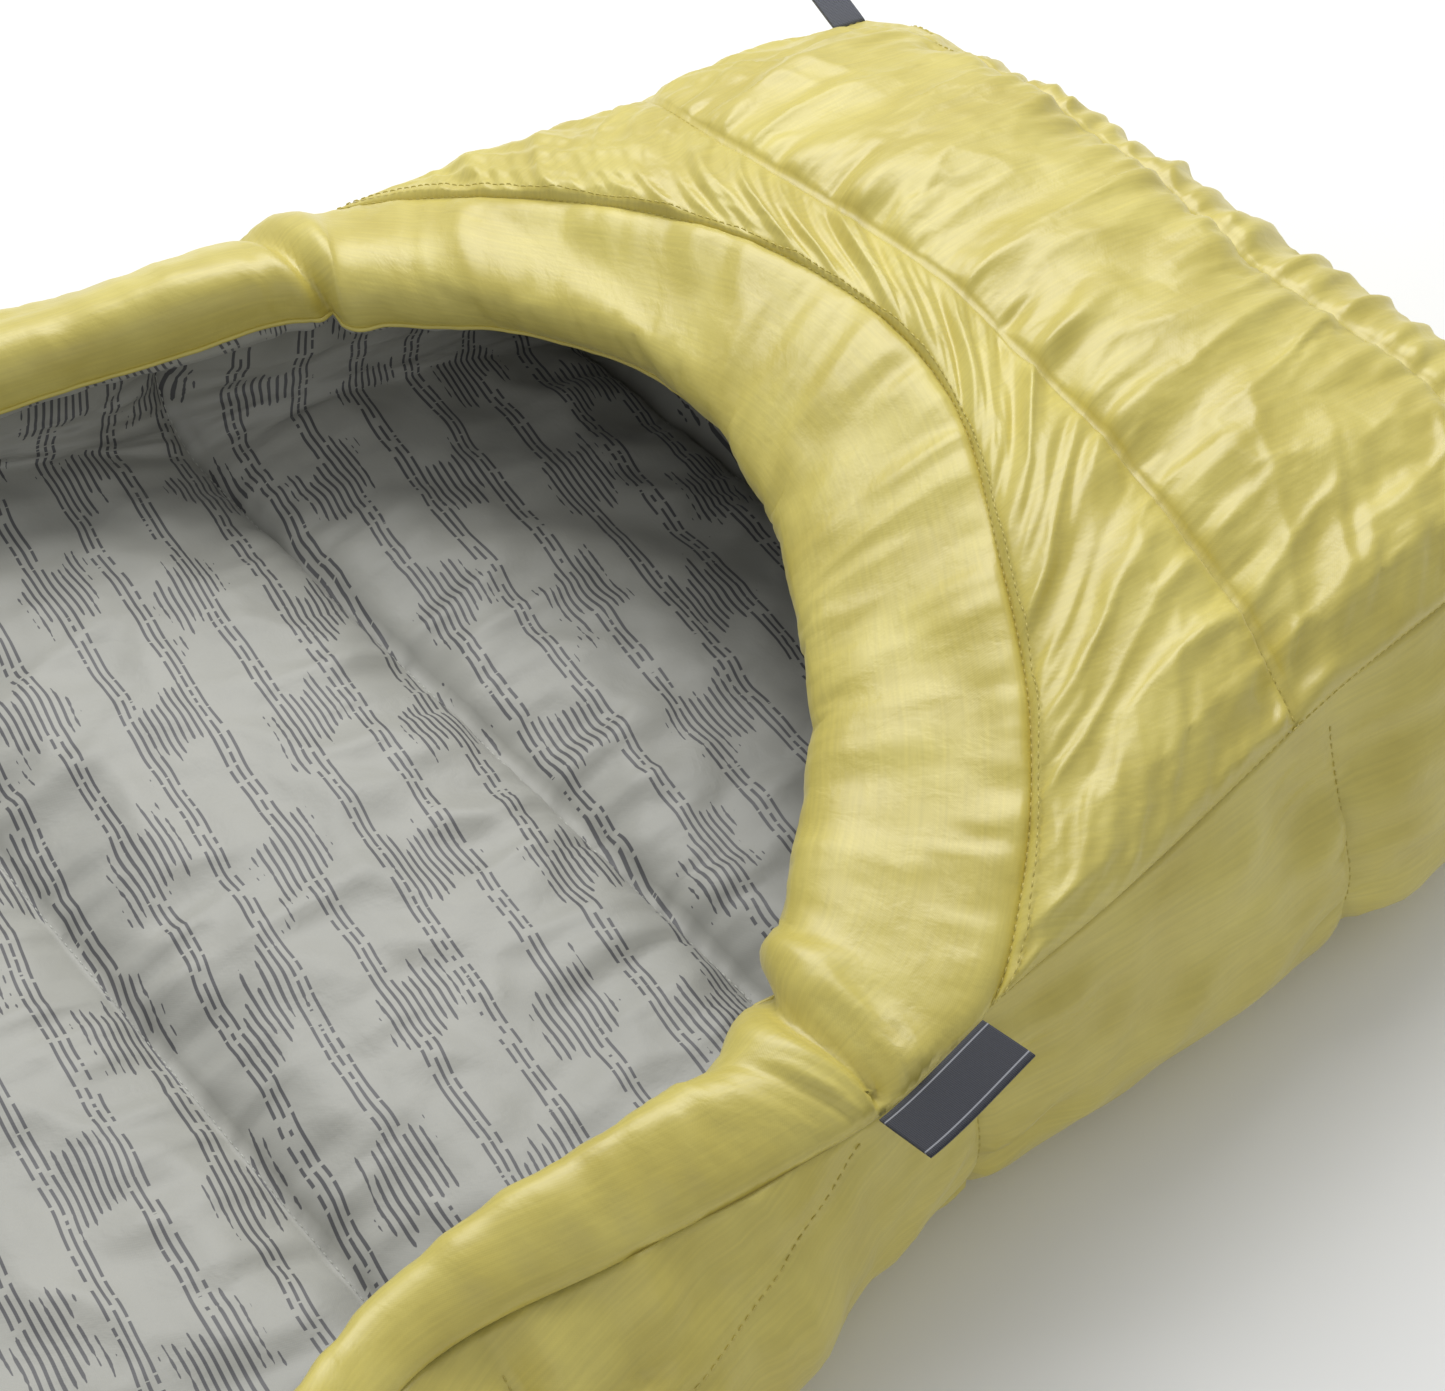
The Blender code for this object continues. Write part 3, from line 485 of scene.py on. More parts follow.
print("wrinkles are", "found by simulation")

# %% [markdown]
# ## Gathers
# A perfectly smooth sheet has no reason to buckle in one place more than in another, and the simulation
# would leave it smooth. Real gathers start from the uneven pull of the stitches. Seeded noise gives the
# same start every time: it is stretched across each seam, in three sizes that fade at their own distances.

# %% Gathers
NOISE_GAIN = 1.6  # brings the noise to about -1 to 1


def grid_noise(s, d, long, wide, seed):
    """Smooth noise over a flat piece of cloth: lumps are long by wide metres in the two directions."""
    flat = np.stack([np.ravel(s) / long, np.ravel(d) / wide], axis=1)
    values = np.array([noise.noise((a, b, seed * 3.71)) for a, b in flat])
    return values.reshape(np.shape(s)) * NOISE_GAIN


def puckers(s, d, gather=1.0, seed=0):
    """Height of the gathers beside a seam. s runs along the seam and d is the distance from it."""
    fine = grid_noise(s, d, 0.0042, 0.030, seed) * np.exp(-(d / 0.014) ** 2) * 0.0011
    middle = grid_noise(s, d, 0.0095, 0.060, seed + 1) * np.exp(-(d / 0.040) ** 2) * 0.0022
    broad = (0.45 - np.abs(grid_noise(s, d, 0.026, 0.120, seed + 2))) * np.exp(-(d / 0.090) ** 2) * 0.0050
    return gather * (fine + middle + broad) * (1 - np.exp(-(d / 0.0035)))


sample = puckers(np.linspace(0, 0.2, 400), np.full(400, 0.012), seed=1)
print("12 mm from a seam the gathers are up to", round(float(np.abs(sample).max()) * 1000, 1), "mm high")

# %% [markdown]
# ## Padded pieces
# A stuffed panel has an outer cloth and an inner cloth, sewn together round their border. Solidify could
# give a sheet a wall, but here the two sides swell differently, so two matching grids are made and closed
# with a strip of faces. Faces have to point out of the closed shape, and the volume's sign tells that.

# %% Join an outer and an inner cloth
def join_skins(name, outer, inner, outer_uv, inner_uv, materials, side_material=0):
    """Closes two matching grids of points, one outside and one inside, into one piece."""
    rows, columns = outer.shape[:2]
    count = rows * columns
    points = np.vstack([outer.reshape(-1, 3), inner.reshape(-1, 3)])
    uv = np.vstack([outer_uv.reshape(-1, 2), inner_uv.reshape(-1, 2)])
    skin = grid_faces(rows, columns)
    ring = border(rows, columns)
    following = np.roll(ring, -1)
    rim = np.stack([following, ring, ring + count, following + count], axis=1)
    faces = np.vstack([skin, skin[:, ::-1] + count, rim])
    kinds = np.concatenate([np.zeros(len(skin)), np.ones(len(skin)), np.full(len(rim), side_material)])
    piece = new_piece(name, points, faces, uv, kinds, materials)
    face_out(piece)
    return piece


def face_out(piece):
    """Turns a closed piece's faces outwards."""
    shape = bmesh.new()
    shape.from_mesh(piece.data)
    bmesh.ops.recalc_face_normals(shape, faces=shape.faces[:])
    if shape.calc_volume(signed=True) < 0:
        bmesh.ops.reverse_faces(shape, faces=shape.faces[:])
    shape.to_mesh(piece.data)
    shape.free()


stitch_lines = []  # (group, points, normals, body), filled as each piece is sewn

# %% [markdown]
# ## What the two cloths share
# Shell and lining are both taffeta: threads that cross one over one, in cloth thin enough to crumple. The
# weave could be an image, but a product of two sine waves is the same pattern and has no edge or
# tile. Both cloths read the flat cloth's own place, so the threads run with the cloth over every fold.

# %% Weave and crumple
WEAVE_PITCH, WEAVE_DEPTH = 0.0009, 0.00002  # the real threads lie about 0.1 mm apart; these are drawn to show


def weave_bump(tree, uv):
    """Crossed threads as a height, from the flat cloth's place."""
    at = add_node(tree, "ShaderNodeVectorMath", {"operation": "SCALE"}, i0=uv, Scale=math.tau / WEAVE_PITCH)
    part = add_node(tree, "ShaderNodeSeparateXYZ", i0=at.outputs[0])
    warp = add_node(tree, "ShaderNodeMath", {"operation": "SINE"}, i0=part.outputs[0])
    weft = add_node(tree, "ShaderNodeMath", {"operation": "SINE"}, i0=part.outputs[1])
    both = add_node(tree, "ShaderNodeMath", {"operation": "MULTIPLY"}, i0=warp.outputs[0], i1=weft.outputs[0])
    return add_node(tree, "ShaderNodeBump", Height=both.outputs[0], Distance=WEAVE_DEPTH, Strength=0.5)


def crumple_bump(tree, uv, below, size, depth):
    """The fine crumple that handling leaves in thin cloth, laid over another bump."""
    grain = add_node(tree, "ShaderNodeTexNoise", {"noise_dimensions": "3D"},
                     Vector=uv, Scale=1 / size, Detail=4.0, Roughness=0.55, Distortion=0.25)
    ridge = add_node(tree, "ShaderNodeMapRange", {"interpolation_type": "SMOOTHSTEP"},
                     i0=grain.outputs[0], i1=0.35, i2=0.68)
    return add_node(tree, "ShaderNodeBump",
                    Height=ridge.outputs[0], Distance=depth, Strength=0.4, Normal=below.outputs[0])


def cloth_place(tree):
    """The flat cloth's own coordinates, in metres."""
    return add_node(tree, "ShaderNodeUVMap", {"uv_map": "cloth"}).outputs[0]


def new_material(name):
    material = bpy.data.materials.new(name)
    material.use_nodes = True
    tree = material.node_tree
    return material, tree, tree.nodes["Principled BSDF"]


print("threads are drawn", WEAVE_PITCH * 1000, "mm apart")

# %% [markdown]
# ## The shell's cloth
# The shell is fine nylon taffeta, pressed between hot rollers so that no down can creep out. The rollers
# leave a closed, slightly waxy face: a broad soft highlight, and hardly any weave to see. A thin coat over
# a fairly smooth base gives that shine. Its tone drifts a little where the down behind is thin or dense.

# %% Shell cloth
DOWN_PATCH = 0.055  # the size of the drifts in tone
SLUB_WIDTH, SLUB_LENGTH = 0.0016, 0.035  # thicker threads, drawn ten times as wide as they are
SHELL_CRUMPLE, SHELL_CRUMPLE_DEPTH = 0.020, 0.0005


def make_shell_cloth():
    """Nylon taffeta, 20 denier, calendered: a waxy sheen and soft mottling where the down shows through."""
    material, tree, shader = new_material("nylon taffeta, calendered, yellow")
    uv = cloth_place(tree)
    patch = add_node(tree, "ShaderNodeTexNoise", Vector=uv, Scale=1 / DOWN_PATCH,
                     Detail=5.0, Roughness=0.55)
    mottle = add_node(tree, "ShaderNodeMapRange", i0=patch.outputs[0], i1=0.32, i2=0.70)
    colour = add_node(tree, "ShaderNodeMix", {"data_type": "RGBA"}, i0=mottle.outputs[0],
                      i6=linear("#C6B655"), i7=linear("#D6C869"))
    streak = add_node(tree, "ShaderNodeMapping", Vector=uv, Scale=(1 / SLUB_WIDTH, 1 / SLUB_LENGTH, 1))
    slub = add_node(tree, "ShaderNodeTexNoise", Vector=streak.outputs[0], Scale=1.0, Detail=2.0)
    slubbed = add_node(tree, "ShaderNodeMapRange", i0=slub.outputs[0], i1=0.3, i2=0.7, i3=0.95, i4=1.05)
    toned = add_node(tree, "ShaderNodeVectorMath", {"operation": "SCALE"},
                     i0=colour.outputs[2], Scale=slubbed.outputs[0])
    tree.links.new(toned.outputs[0], shader.inputs["Base Color"])
    wear = add_node(tree, "ShaderNodeMapRange", i0=patch.outputs[0], i1=0.3, i2=0.7, i3=0.36, i4=0.46)
    tree.links.new(wear.outputs[0], shader.inputs["Roughness"])
    shader.inputs["IOR"].default_value = 1.53
    shader.inputs["Specular IOR Level"].default_value = 0.62
    shader.inputs["Sheen Weight"].default_value = 0.25
    shader.inputs["Sheen Roughness"].default_value = 0.35
    shader.inputs["Sheen Tint"].default_value = linear("#FFF7CF")
    shader.inputs["Coat Weight"].default_value = 0.12
    shader.inputs["Coat Roughness"].default_value = 0.25
    bump = crumple_bump(tree, uv, weave_bump(tree, uv), SHELL_CRUMPLE, SHELL_CRUMPLE_DEPTH)
    tree.links.new(bump.outputs[0], shader.inputs["Normal"])
    return material


shell_cloth = make_shell_cloth()
print("made", shell_cloth.name)

# %% [markdown]
# ## The lining's print
# The lining is matt grey taffeta, printed with broken parallel lines. An image of such a print would repeat
# and blur, so it is worked out as arithmetic on the flat cloth's place. The lines lie 3.4 mm apart and a
# little off the cross direction. They swell into staggered patches where every line is present, and
# between the patches three lines in nine go on, dashed. Each line has a number, so it starts and stops
# at its own place.

# %% Print
LINE_PITCH, LINE_ANGLE = 0.0034, math.radians(-8)
LINE_WANDER = 0.007  # how far a line strays from straight
PATCH_ALONG, PATCH_ACROSS = (0.064, -0.050), (0.038, 0.047)  # steps from patch to patch on the cloth
DASH, OWN_SHIFT = 0.0055, 0.013  # the length of a dash, and how far a line's ends differ from its neighbour's
RUN_OF_LINES, RUN_SHARE = 9.0, 0.30  # this share of every nine lines goes on between the patches


def print_steps():
    """The print's arithmetic, one step in a row: what it gives, the operation, and what it works on."""
    turn, slant = math.cos(LINE_ANGLE), math.sin(LINE_ANGLE)
    (a, b), (c, d) = PATCH_ALONG, PATCH_ACROSS
    size = a * d - b * c
    return (
        # How far across the lines, and which line that is.
        ("u across", "MULTIPLY", "u", -slant), ("turned", "MULTIPLY_ADD", "v", turn, "u across"),
        ("across", "MULTIPLY_ADD", "wander", LINE_WANDER, "turned"),
        ("v along", "MULTIPLY", "v", slant), ("along", "MULTIPLY_ADD", "u", turn, "v along"),
        ("count", "DIVIDE", "across", LINE_PITCH), ("number", "FLOOR", "count"),
        ("part", "FRACT", "count"), ("from middle", "SUBTRACT", "part", 0.5), ("off", "ABSOLUTE", "from middle"),
        ("own", "number"),
        # The patches' own lattice, with every line shifted a little by its own number.
        ("shifted", "MULTIPLY_ADD", "own", OWN_SHIFT, "u"),
        ("v in s", "MULTIPLY", "v", -c / size), ("s", "MULTIPLY_ADD", "shifted", d / size, "v in s"),
        ("v in t", "MULTIPLY", "v", a / size), ("t", "MULTIPLY_ADD", "shifted", -b / size, "v in t"),
        ("wave s", "PINGPONG", "s", 0.5), ("wave t", "PINGPONG", "t", 0.5),
        ("weighed t", "MULTIPLY", "wave t", 1.15), ("patch", "ADD", "wave s", "weighed t"),
        ("ragged", "MULTIPLY_ADD", "blot", 0.5, "patch"),
        ("dash x", "DIVIDE", "along", DASH), ("dash y", "MULTIPLY", "number", 7.3),
        ("dash", "dash x", "dash y"),
        ("strength", "MULTIPLY_ADD", "dash", 0.22, "ragged"), ("inside", "strength", 1.04, 1.12),
        # The lines that run on between the patches.
        ("half on", "ADD", "number", 0.5), ("runs", "DIVIDE", "half on", RUN_OF_LINES),
        ("in run", "FRACT", "runs"), ("runner", "LESS_THAN", "in run", RUN_SHARE),
        ("unbroken", "GREATER_THAN", "dash", 0.38), ("running", "MULTIPLY", "runner", "unbroken"),
        # Ink lies where a point is nearer to its line's middle than half the line's width.
        ("inked", "MAXIMUM", "inside", "running"), ("width", "MULTIPLY_ADD", "inked", 0.17, 0.03),
        ("within", "SUBTRACT", "width", "off"), ("line", "within", -0.03, 0.03),
        ("present", "GREATER_THAN", "inked", 0.15), ("ink", "MULTIPLY", "line", "present"),
    )


def line_print(tree, uv):
    """How much ink lies at a place on the cloth, 0 to 1."""
    wobble = add_node(tree, "ShaderNodeTexNoise", Vector=uv, Scale=1 / 0.045, Detail=1.0)
    blot = add_node(tree, "ShaderNodeTexNoise", Vector=uv, Scale=1 / 0.03, Detail=2.0)
    part = add_node(tree, "ShaderNodeSeparateXYZ", i0=uv)
    known = {"u": part.outputs[0], "v": part.outputs[1], "wander": wobble.outputs[0], "blot": blot.outputs[0]}
    for gives, *step in print_steps():
        values = [known.get(value, value) for value in step]
        if gives == "own":  # a random number for each line
            node = add_node(tree, "ShaderNodeTexWhiteNoise", {"noise_dimensions": "1D"}, W=values[0])
        elif gives == "dash":
            place = add_node(tree, "ShaderNodeCombineXYZ", X=values[0], Y=values[1])
            node = add_node(tree, "ShaderNodeTexNoise", {"noise_dimensions": "2D"},
                            Vector=place.outputs[0], Scale=1.0, Detail=1.0)
        elif gives in ("inside", "line"):  # a soft edge between two values
            node = add_node(tree, "ShaderNodeMapRange", i0=values[0], i1=values[1], i2=values[2])
        else:
            settings = {"operation": step[0], "use_clamp": gives == "ink"}
            node = add_node(tree, "ShaderNodeMath", settings, **{f"i{k}": v for k, v in enumerate(values[1:])})
        known[gives] = node.outputs[0]
    return known["ink"]


print("the print is", len(print_steps()), "steps of arithmetic")

# %% Lining cloth
INK, INK_STRENGTH = "#3F3F46", 0.86
LINING_CRUMPLE, LINING_CRUMPLE_DEPTH = 0.024, 0.0006


def make_lining_cloth():
    """Polyester taffeta, printed: a matt pale grey that picks up the yellow around it, with charcoal ink."""
    material, tree, shader = new_material("polyester taffeta, printed, grey")
    uv = cloth_place(tree)
    patch = add_node(tree, "ShaderNodeTexNoise", Vector=uv, Scale=1 / 0.08, Detail=4.0)
    ground = add_node(tree, "ShaderNodeMix", {"data_type": "RGBA"},
                      i0=patch.outputs[0], i6=linear("#A3A39B"), i7=linear("#B3B2A9"))
    ink = add_node(tree, "ShaderNodeMath", {"operation": "MULTIPLY"}, i0=line_print(tree, uv), i1=INK_STRENGTH)
    colour = add_node(tree, "ShaderNodeMix", {"data_type": "RGBA"},
                      i0=ink.outputs[0], i6=ground.outputs[2], i7=linear(INK))
    tree.links.new(colour.outputs[2], shader.inputs["Base Color"])
    shader.inputs["Roughness"].default_value = 0.50
    shader.inputs["IOR"].default_value = 1.55
    shader.inputs["Specular IOR Level"].default_value = 0.45
    shader.inputs["Sheen Weight"].default_value = 0.18
    shader.inputs["Sheen Roughness"].default_value = 0.45
    bump = crumple_bump(tree, uv, weave_bump(tree, uv), LINING_CRUMPLE, LINING_CRUMPLE_DEPTH)
    tree.links.new(bump.outputs[0], shader.inputs["Normal"])
    return material


lining_cloth = make_lining_cloth()
print("made", lining_cloth.name)

# %% [markdown]
# ## The foot box's top
# The top of the foot box is a padded panel, quilted across by two lines of stitches and sewn in all round.
# Its shell is cut 3 to 7 percent too large, so it gathers along every line and swells between them. The
# panel could be one curved sheet with painted folds. It is a dense grid instead, raised into three rolls,
# gathered by the noise and then relaxed as cloth with its stitched rows held, because its folds are the
# first thing that the eye meets.

# %% Foot top, stitched down
# Each stitched line: where it meets the near and the far edge, and the points between.
TOP_SEAMS = (
    (0.552, 0.640, ()),  # the mouth, whose points come from the stuffed edge
    (0.727, 0.795, ((0.217, 0.738, 0.165), (0.175, 0.745, 0.175), (0.118, 0.755, 0.184), (0.07, 0.761, 0.188),
                    (0.01, 0.770, 0.19), (-0.063, 0.771, 0.188), (-0.146, 0.772, 0.18), (-0.203, 0.780, 0.169))),
    (0.885, 0.915, ((0.200, 0.892, 0.168), (0.135, 0.893, 0.176), (0.072, 0.893, 0.179), (-0.003, 0.905, 0.18),
                    (-0.108, 0.915, 0.177), (-0.168, 0.917, 0.170))),
    (0.931, 0.931, ((0.20, 0.938, 0.153), (0.10, 0.942, 0.156), (0.0, 0.943, 0.157), (-0.10, 0.942, 0.156),
                    (-0.20, 0.938, 0.153))),
)
TOP_COLUMNS, TOP_STEPS = 280, (56, 56, 16)
ROLL_HEIGHT, FULL_ROLL = 0.022, 0.12  # a roll's height, and the width of roll that reaches it
NEAR_SHOULDER, FAR_SHOULDER = 0.06, 0.30  # the share of the width over which a roll rises at each end


def foot_top_base():
    """The shape that the stitches hold the top down to, row by row, and how high it swells over that."""
    stitched = [seam_of_edge(np.linspace(mouth_start, mouth_end, TOP_COLUMNS))]
    for near, far, between in TOP_SEAMS[1:]:
        stitched.append(smooth_path(np.vstack([rim_at([near], 1), between, rim_at([far], -1)]), TOP_COLUMNS))
    u = np.linspace(0, 1, TOP_COLUMNS)[None, :, None]
    blocks, height = [], []
    for k, steps in enumerate(TOP_STEPS):
        f = np.linspace(0, 1, steps + 1)[:, None, None]
        base = (1 - f) * stitched[k][None] + f * stitched[k + 1][None]
        for side, weight in ((1, (1 - u) ** 2), (-1, u ** 2)):
            ends = [TOP_SEAMS[k][0 if side > 0 else 1], TOP_SEAMS[k + 1][0 if side > 0 else 1]]
            wanted = rim_at(ends[0] + (ends[1] - ends[0]) * f[:, 0, 0], side)
            base = base + weight * (wanted - base[:, 0 if side > 0 else -1])[:, None]
        width = np.linalg.norm(stitched[k + 1] - stitched[k], axis=1)
        rise = np.sqrt(np.clip(1 - (2 * f[..., 0] - 1) ** 2, 0, 1)) * (ROLL_HEIGHT * np.tanh(width / FULL_ROLL))[None]
        shoulder = np.clip(np.minimum(u[..., 0] / NEAR_SHOULDER, (1 - u[..., 0]) / FAR_SHOULDER), 0, 1) ** 0.5
        last = None if k == len(TOP_STEPS) - 1 else -1
        blocks.append(base[:last])
        height.append((rise * shoulder)[:last])
    return np.vstack(blocks), np.vstack(height)


print("the top's grid is", foot_top_base()[1].shape, "points")

# %% Foot top, gathered and swollen
TOP_PRESSURE = 2.5  # how hard the filling pushes
TOP_CUT = np.array([1.07, 1.03, 1.03])  # how much larger than its place the cloth is cut


def make_foot_top():
    base, height = foot_top_base()
    up = normals_of(base)
    up *= np.sign(up[..., 2:3].mean())
    rows, columns = base.shape[:2]
    marks = np.cumsum((0,) + TOP_STEPS)
    across, along = lengths_along(base, 1), lengths_along(base, 0)
    gathers = np.zeros((rows, columns))
    for k, mark in enumerate(marks):
        gap = np.abs(along - along[mark])
        near_rows = np.zeros((rows, 1))
        near_rows[max(mark - TOP_STEPS[0], 0):mark + TOP_STEPS[0] + 1] = 1
        gathers += puckers(across, gap, 1.0 if k else 0.7, 10 * k + 1) * near_rows
    for k, gap in ((5, across), (6, across[:, -1:] - across)):
        gathers += puckers(along, gap, 0.6, 10 * k + 1)
    gathers += 0.0016 * grid_noise(across, along, 0.030, 0.060, 90) * (height > 0)
    room = np.clip(height / 0.006, 0, 1)
    outer = base + up * (height + room * gathers)[..., None]
    sewn = np.zeros((rows, columns))
    sewn[marks] = 1
    sewn[:, (0, -1)] = 1
    cut = (outer * TOP_CUT).reshape(-1, 3)
    moved = relax_cloth(outer.reshape(-1, 3), grid_faces(rows, columns), sewn.ravel(), cut, TOP_PRESSURE)
    outer = moved.reshape(outer.shape)
    inner = base - up * (0.020 + 0.4 * height)[..., None]
    second_row = outer[0] + (outer[1] - outer[0]) * 2  # the mouth's seam is stitched twice
    for mark, line in [(0, outer[0]), (0, second_row)] + [(mark, outer[mark]) for mark in marks[1:-1]]:
        stitch_lines.append(("foot_top", line, up[mark], "foot_half"))
    for edge in (0, -1):
        stitch_lines.append(("foot_top", outer[:, edge], up[:, edge], "foot_half"))
    flat = np.stack([across - across[:, -1:] / 2, base[..., 1]], axis=-1)
    return join_skins("foot_top", outer, inner, flat, flat, (shell_cloth, lining_cloth))


foot_top = make_foot_top()
print("foot top made of", len(foot_top.data.vertices), "points")
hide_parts("foot_top_shell", "foot_top_lining", "foot_top_fill_1", "foot_top_fill_2", "foot_top_fill_3",
            "foot_top_baffle_wall_1", "foot_top_baffle_wall_2")
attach(foot_top, "foot_half")

# %% [markdown]
# ## The stuffed edge
# The roll round the mouth and down both sides is a strip of shell cloth, folded over a sausage of down and
# sewn on along one seam. It could be a circle swept along a curve, but the roll is no circle: it is
# high by its seam and low at its lip, and turns over on the way. So each section is drawn from four parts:
# the yellow top, the lining's curve under it, the sewn root and the way back to the seam.

# %% Sections of the stuffed edge
TUBE_TOP, TUBE_UNDER, TUBE_BACK = 20, 9, 3  # points in the top, the underside and the root
TOP_LEAN = 0.38  # how much fuller the roll is on its seam's side
UNDER_REACH = 0.018


def tube_sections(at):
    """Rings of points round the stuffed edge at distances along its seam."""
    lip, bulge = (smooth_curve(tube_knots, values, at) for values in (tube_lip, tube_bulge))
    seam = seam_of_edge(at)
    along = np.gradient(seam, axis=0)
    along /= np.linalg.norm(along, axis=1, keepdims=True)
    chord = lip - seam
    width = np.linalg.norm(chord, axis=1)
    chord /= width[:, None]
    out = np.cross(along, chord)
    out /= np.linalg.norm(out, axis=1, keepdims=True)
    side = np.where(seam[:, 0] > 0, 1, -1)
    curl = np.where(side > 0, edge_at(seam[:, 1], 1)[2], edge_at(seam[:, 1], -1)[2]) + math.pi / 2
    wall = np.stack([side * np.cos(curl), 0 * curl, np.sin(curl)], axis=1)
    mouth = (ease(0.50, 0.60, seam[:, 1]))[:, None]
    back = (1 - mouth) * wall - mouth * out
    back /= np.linalg.norm(back, axis=1, keepdims=True)
    root = seam + RIM * back
    turn = np.linspace(0, math.pi, TUBE_TOP)[None, :, None]
    top = seam[:, None] + chord[:, None] * (width[:, None, None] * (1 - np.cos(turn)) / 2) \
        + out[:, None] * (bulge[:, None, None] * np.sin(turn) * (1 - TOP_LEAN * np.cos(turn)))
    f = np.linspace(0, 1, TUBE_UNDER + 2)[1:, None][None]
    reach = np.minimum(UNDER_REACH, width / 3)[:, None]
    under = (1 - f) ** 3 * lip[:, None] + 3 * (1 - f) ** 2 * f * (lip - out * reach)[:, None] \
        + 3 * (1 - f) * f ** 2 * (root + chord * reach)[:, None] + f ** 3 * root[:, None]
    f = np.linspace(0, 1, TUBE_BACK + 2)[1:-1, None][None]
    behind = (1 - f) * root[:, None] + f * seam[:, None]
    return np.concatenate([top, under, behind], axis=1)


sample = tube_sections(np.linspace(mouth_start, mouth_end, 9))[4]
print("halfway round the mouth the roll is", np.ptp(sample, axis=0).round(3), "m in x, y and z")

# %% [markdown]
# ## The folds at the mouth's corners
# Where a side roll turns into the mouth's roll, the strip is too long on the inside of the bend. It folds
# away in one deep tuck at the near corner and in a softer one at the far corner. A simulation of the whole
# sewing might find them, but a valley between two ridges, set where they lie, is quicker and surer.

# %% Corner folds
def corner_fold(at, columns):
    """Height of the two corners' folds at distances along the seam, for each point of a section."""
    w = np.clip(np.arange(columns) / (TUBE_TOP - 1), 0, 1)[None]
    off = at[:, None] - (corner_at + 0.004 + 0.040 * w)  # the near tuck slants from the seam to the lip
    tuck = -0.0085 * np.exp(-(off / 0.0045) ** 2) + 0.0050 * np.exp(-((off - 0.016) / 0.010) ** 2)
    tuck += 0.0030 * np.exp(-((off + 0.015) / 0.009) ** 2)
    rays = 0.0016 * np.sin(off * 420 / (0.35 + w)) * np.exp(-(off / 0.040) ** 2) * np.exp(-(w / 0.5) ** 2)
    off = at[:, None] - (mouth_end + 0.055 - 0.035 * w)  # a softer fold where the far side tube begins
    tuck += -0.0060 * np.exp(-(off / 0.006) ** 2) + 0.0045 * np.exp(-((off + 0.020) / 0.013) ** 2)
    return (tuck + rays) * np.clip(w * 8, 0, 1)

sample = corner_fold(np.linspace(corner_at, corner_at + 0.05, 200), TUBE_TOP)
print("the near tuck is", round(-float(sample.min()) * 1000, 1), "mm deep")

# %% Stuffed edge
EDGE_ROWS = 860
EDGE_PRESSURE = 2.5
EDGE_CUT, EDGE_MIDDLE = np.array([1.07, 1.07, 1.04]), np.array([0, 0.45, 0])  # cut larger round this point
FINE_FROM, COARSE_SHARE = 0.10, 0.35  # rows lie closer in the part near the foot, where the eye is


def make_edge():
    y = smooth_curve(tube_knots, tube_seam, np.linspace(0, tube_knots[-1], 4000))[:, 1]
    step = np.where(y > FINE_FROM, 1.0, COARSE_SHARE)
    place = np.cumsum(step) / step.sum()
    at = np.interp(np.linspace(place[0], 1, EDGE_ROWS), place, np.linspace(0, tube_knots[-1], 4000))
    rings = tube_sections(at)
    rows, columns = rings.shape[:2]
    sewn = np.zeros((rows, columns))
    sewn[:, 0] = 1
    sewn[:, TUBE_TOP + TUBE_UNDER:] = 1
    sewn[:, TUBE_TOP - 1] = 0.3
    sewn[:2] = sewn[-2:] = 1
    round_it = lengths_along(rings, 1)
    distance = np.broadcast_to(at[:, None], round_it.shape)
    lip_gap = np.abs(round_it - round_it[:, TUBE_TOP - 1:TUBE_TOP])
    bump = puckers(distance, round_it, 0.32, 70) + puckers(distance, lip_gap, 0.22, 80)
    bump += 0.0018 * grid_noise(distance, round_it, 0.050, 0.060, 85)
    bump *= np.where(rings[..., 1] < 0, 0.5, 1.0)
    bump += corner_fold(at, columns)
    bump *= np.clip(1.5 - sewn * 1.5, 0, 1) * (np.arange(columns) < TUBE_TOP + TUBE_UNDER - 3)
    rings = rings + bump[..., None] * normals_round(rings)
    rings[..., 2] = np.maximum(rings[..., 2], 0.0)
    cut = (rings - EDGE_MIDDLE) * EDGE_CUT + EDGE_MIDDLE
    faces = grid_faces(rows, columns, wrap=True)
    moved = relax_cloth(rings.reshape(-1, 3), faces, sewn.ravel(), cut.reshape(-1, 3), EDGE_PRESSURE)
    rings = moved.reshape(rings.shape)
    flat = np.stack([round_it, distance], axis=-1).reshape(-1, 2)
    kind = np.tile((np.arange(columns) >= TUBE_TOP - 1).astype(int), rows - 1)
    ends = [tuple(range(columns))[::-1], tuple((rows - 1) * columns + j for j in range(columns))]
    faces = [tuple(f) for f in faces] + ends
    piece = new_piece("stuffed_edge", rings.reshape(-1, 3), faces, flat, np.append(kind, [0, 0]),
                      (shell_cloth, lining_cloth))
    face_out(piece)
    return piece, rings[:, TUBE_TOP - 1], normals_round(rings)[:, TUBE_TOP - 1]


stuffed_edge, lip, lip_normals = make_edge()
print("stuffed edge made of", len(stuffed_edge.data.vertices), "points")
draft_tubes = [f"draft_tube_{side}_{half}_{part}"
               for side in ("near", "far") for half in ("foot", "head") for part in ("cover", "fill")]
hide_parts("mouth_tube_cover", "mouth_tube_fill", *draft_tubes)
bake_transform(stuffed_edge)

# %% [markdown]
# ## The lip's piping
# The edge where the yellow cloth meets the lining is turned in and topstitched, which leaves a thin round
# welt. A bevelled curve would give one too. It is swept here along the lip that the simulation left, so
# that it sits on the cloth at every fold.

# %% Piping
PIPING_RADIUS, PIPING_LIFT = 0.0011, 0.0004


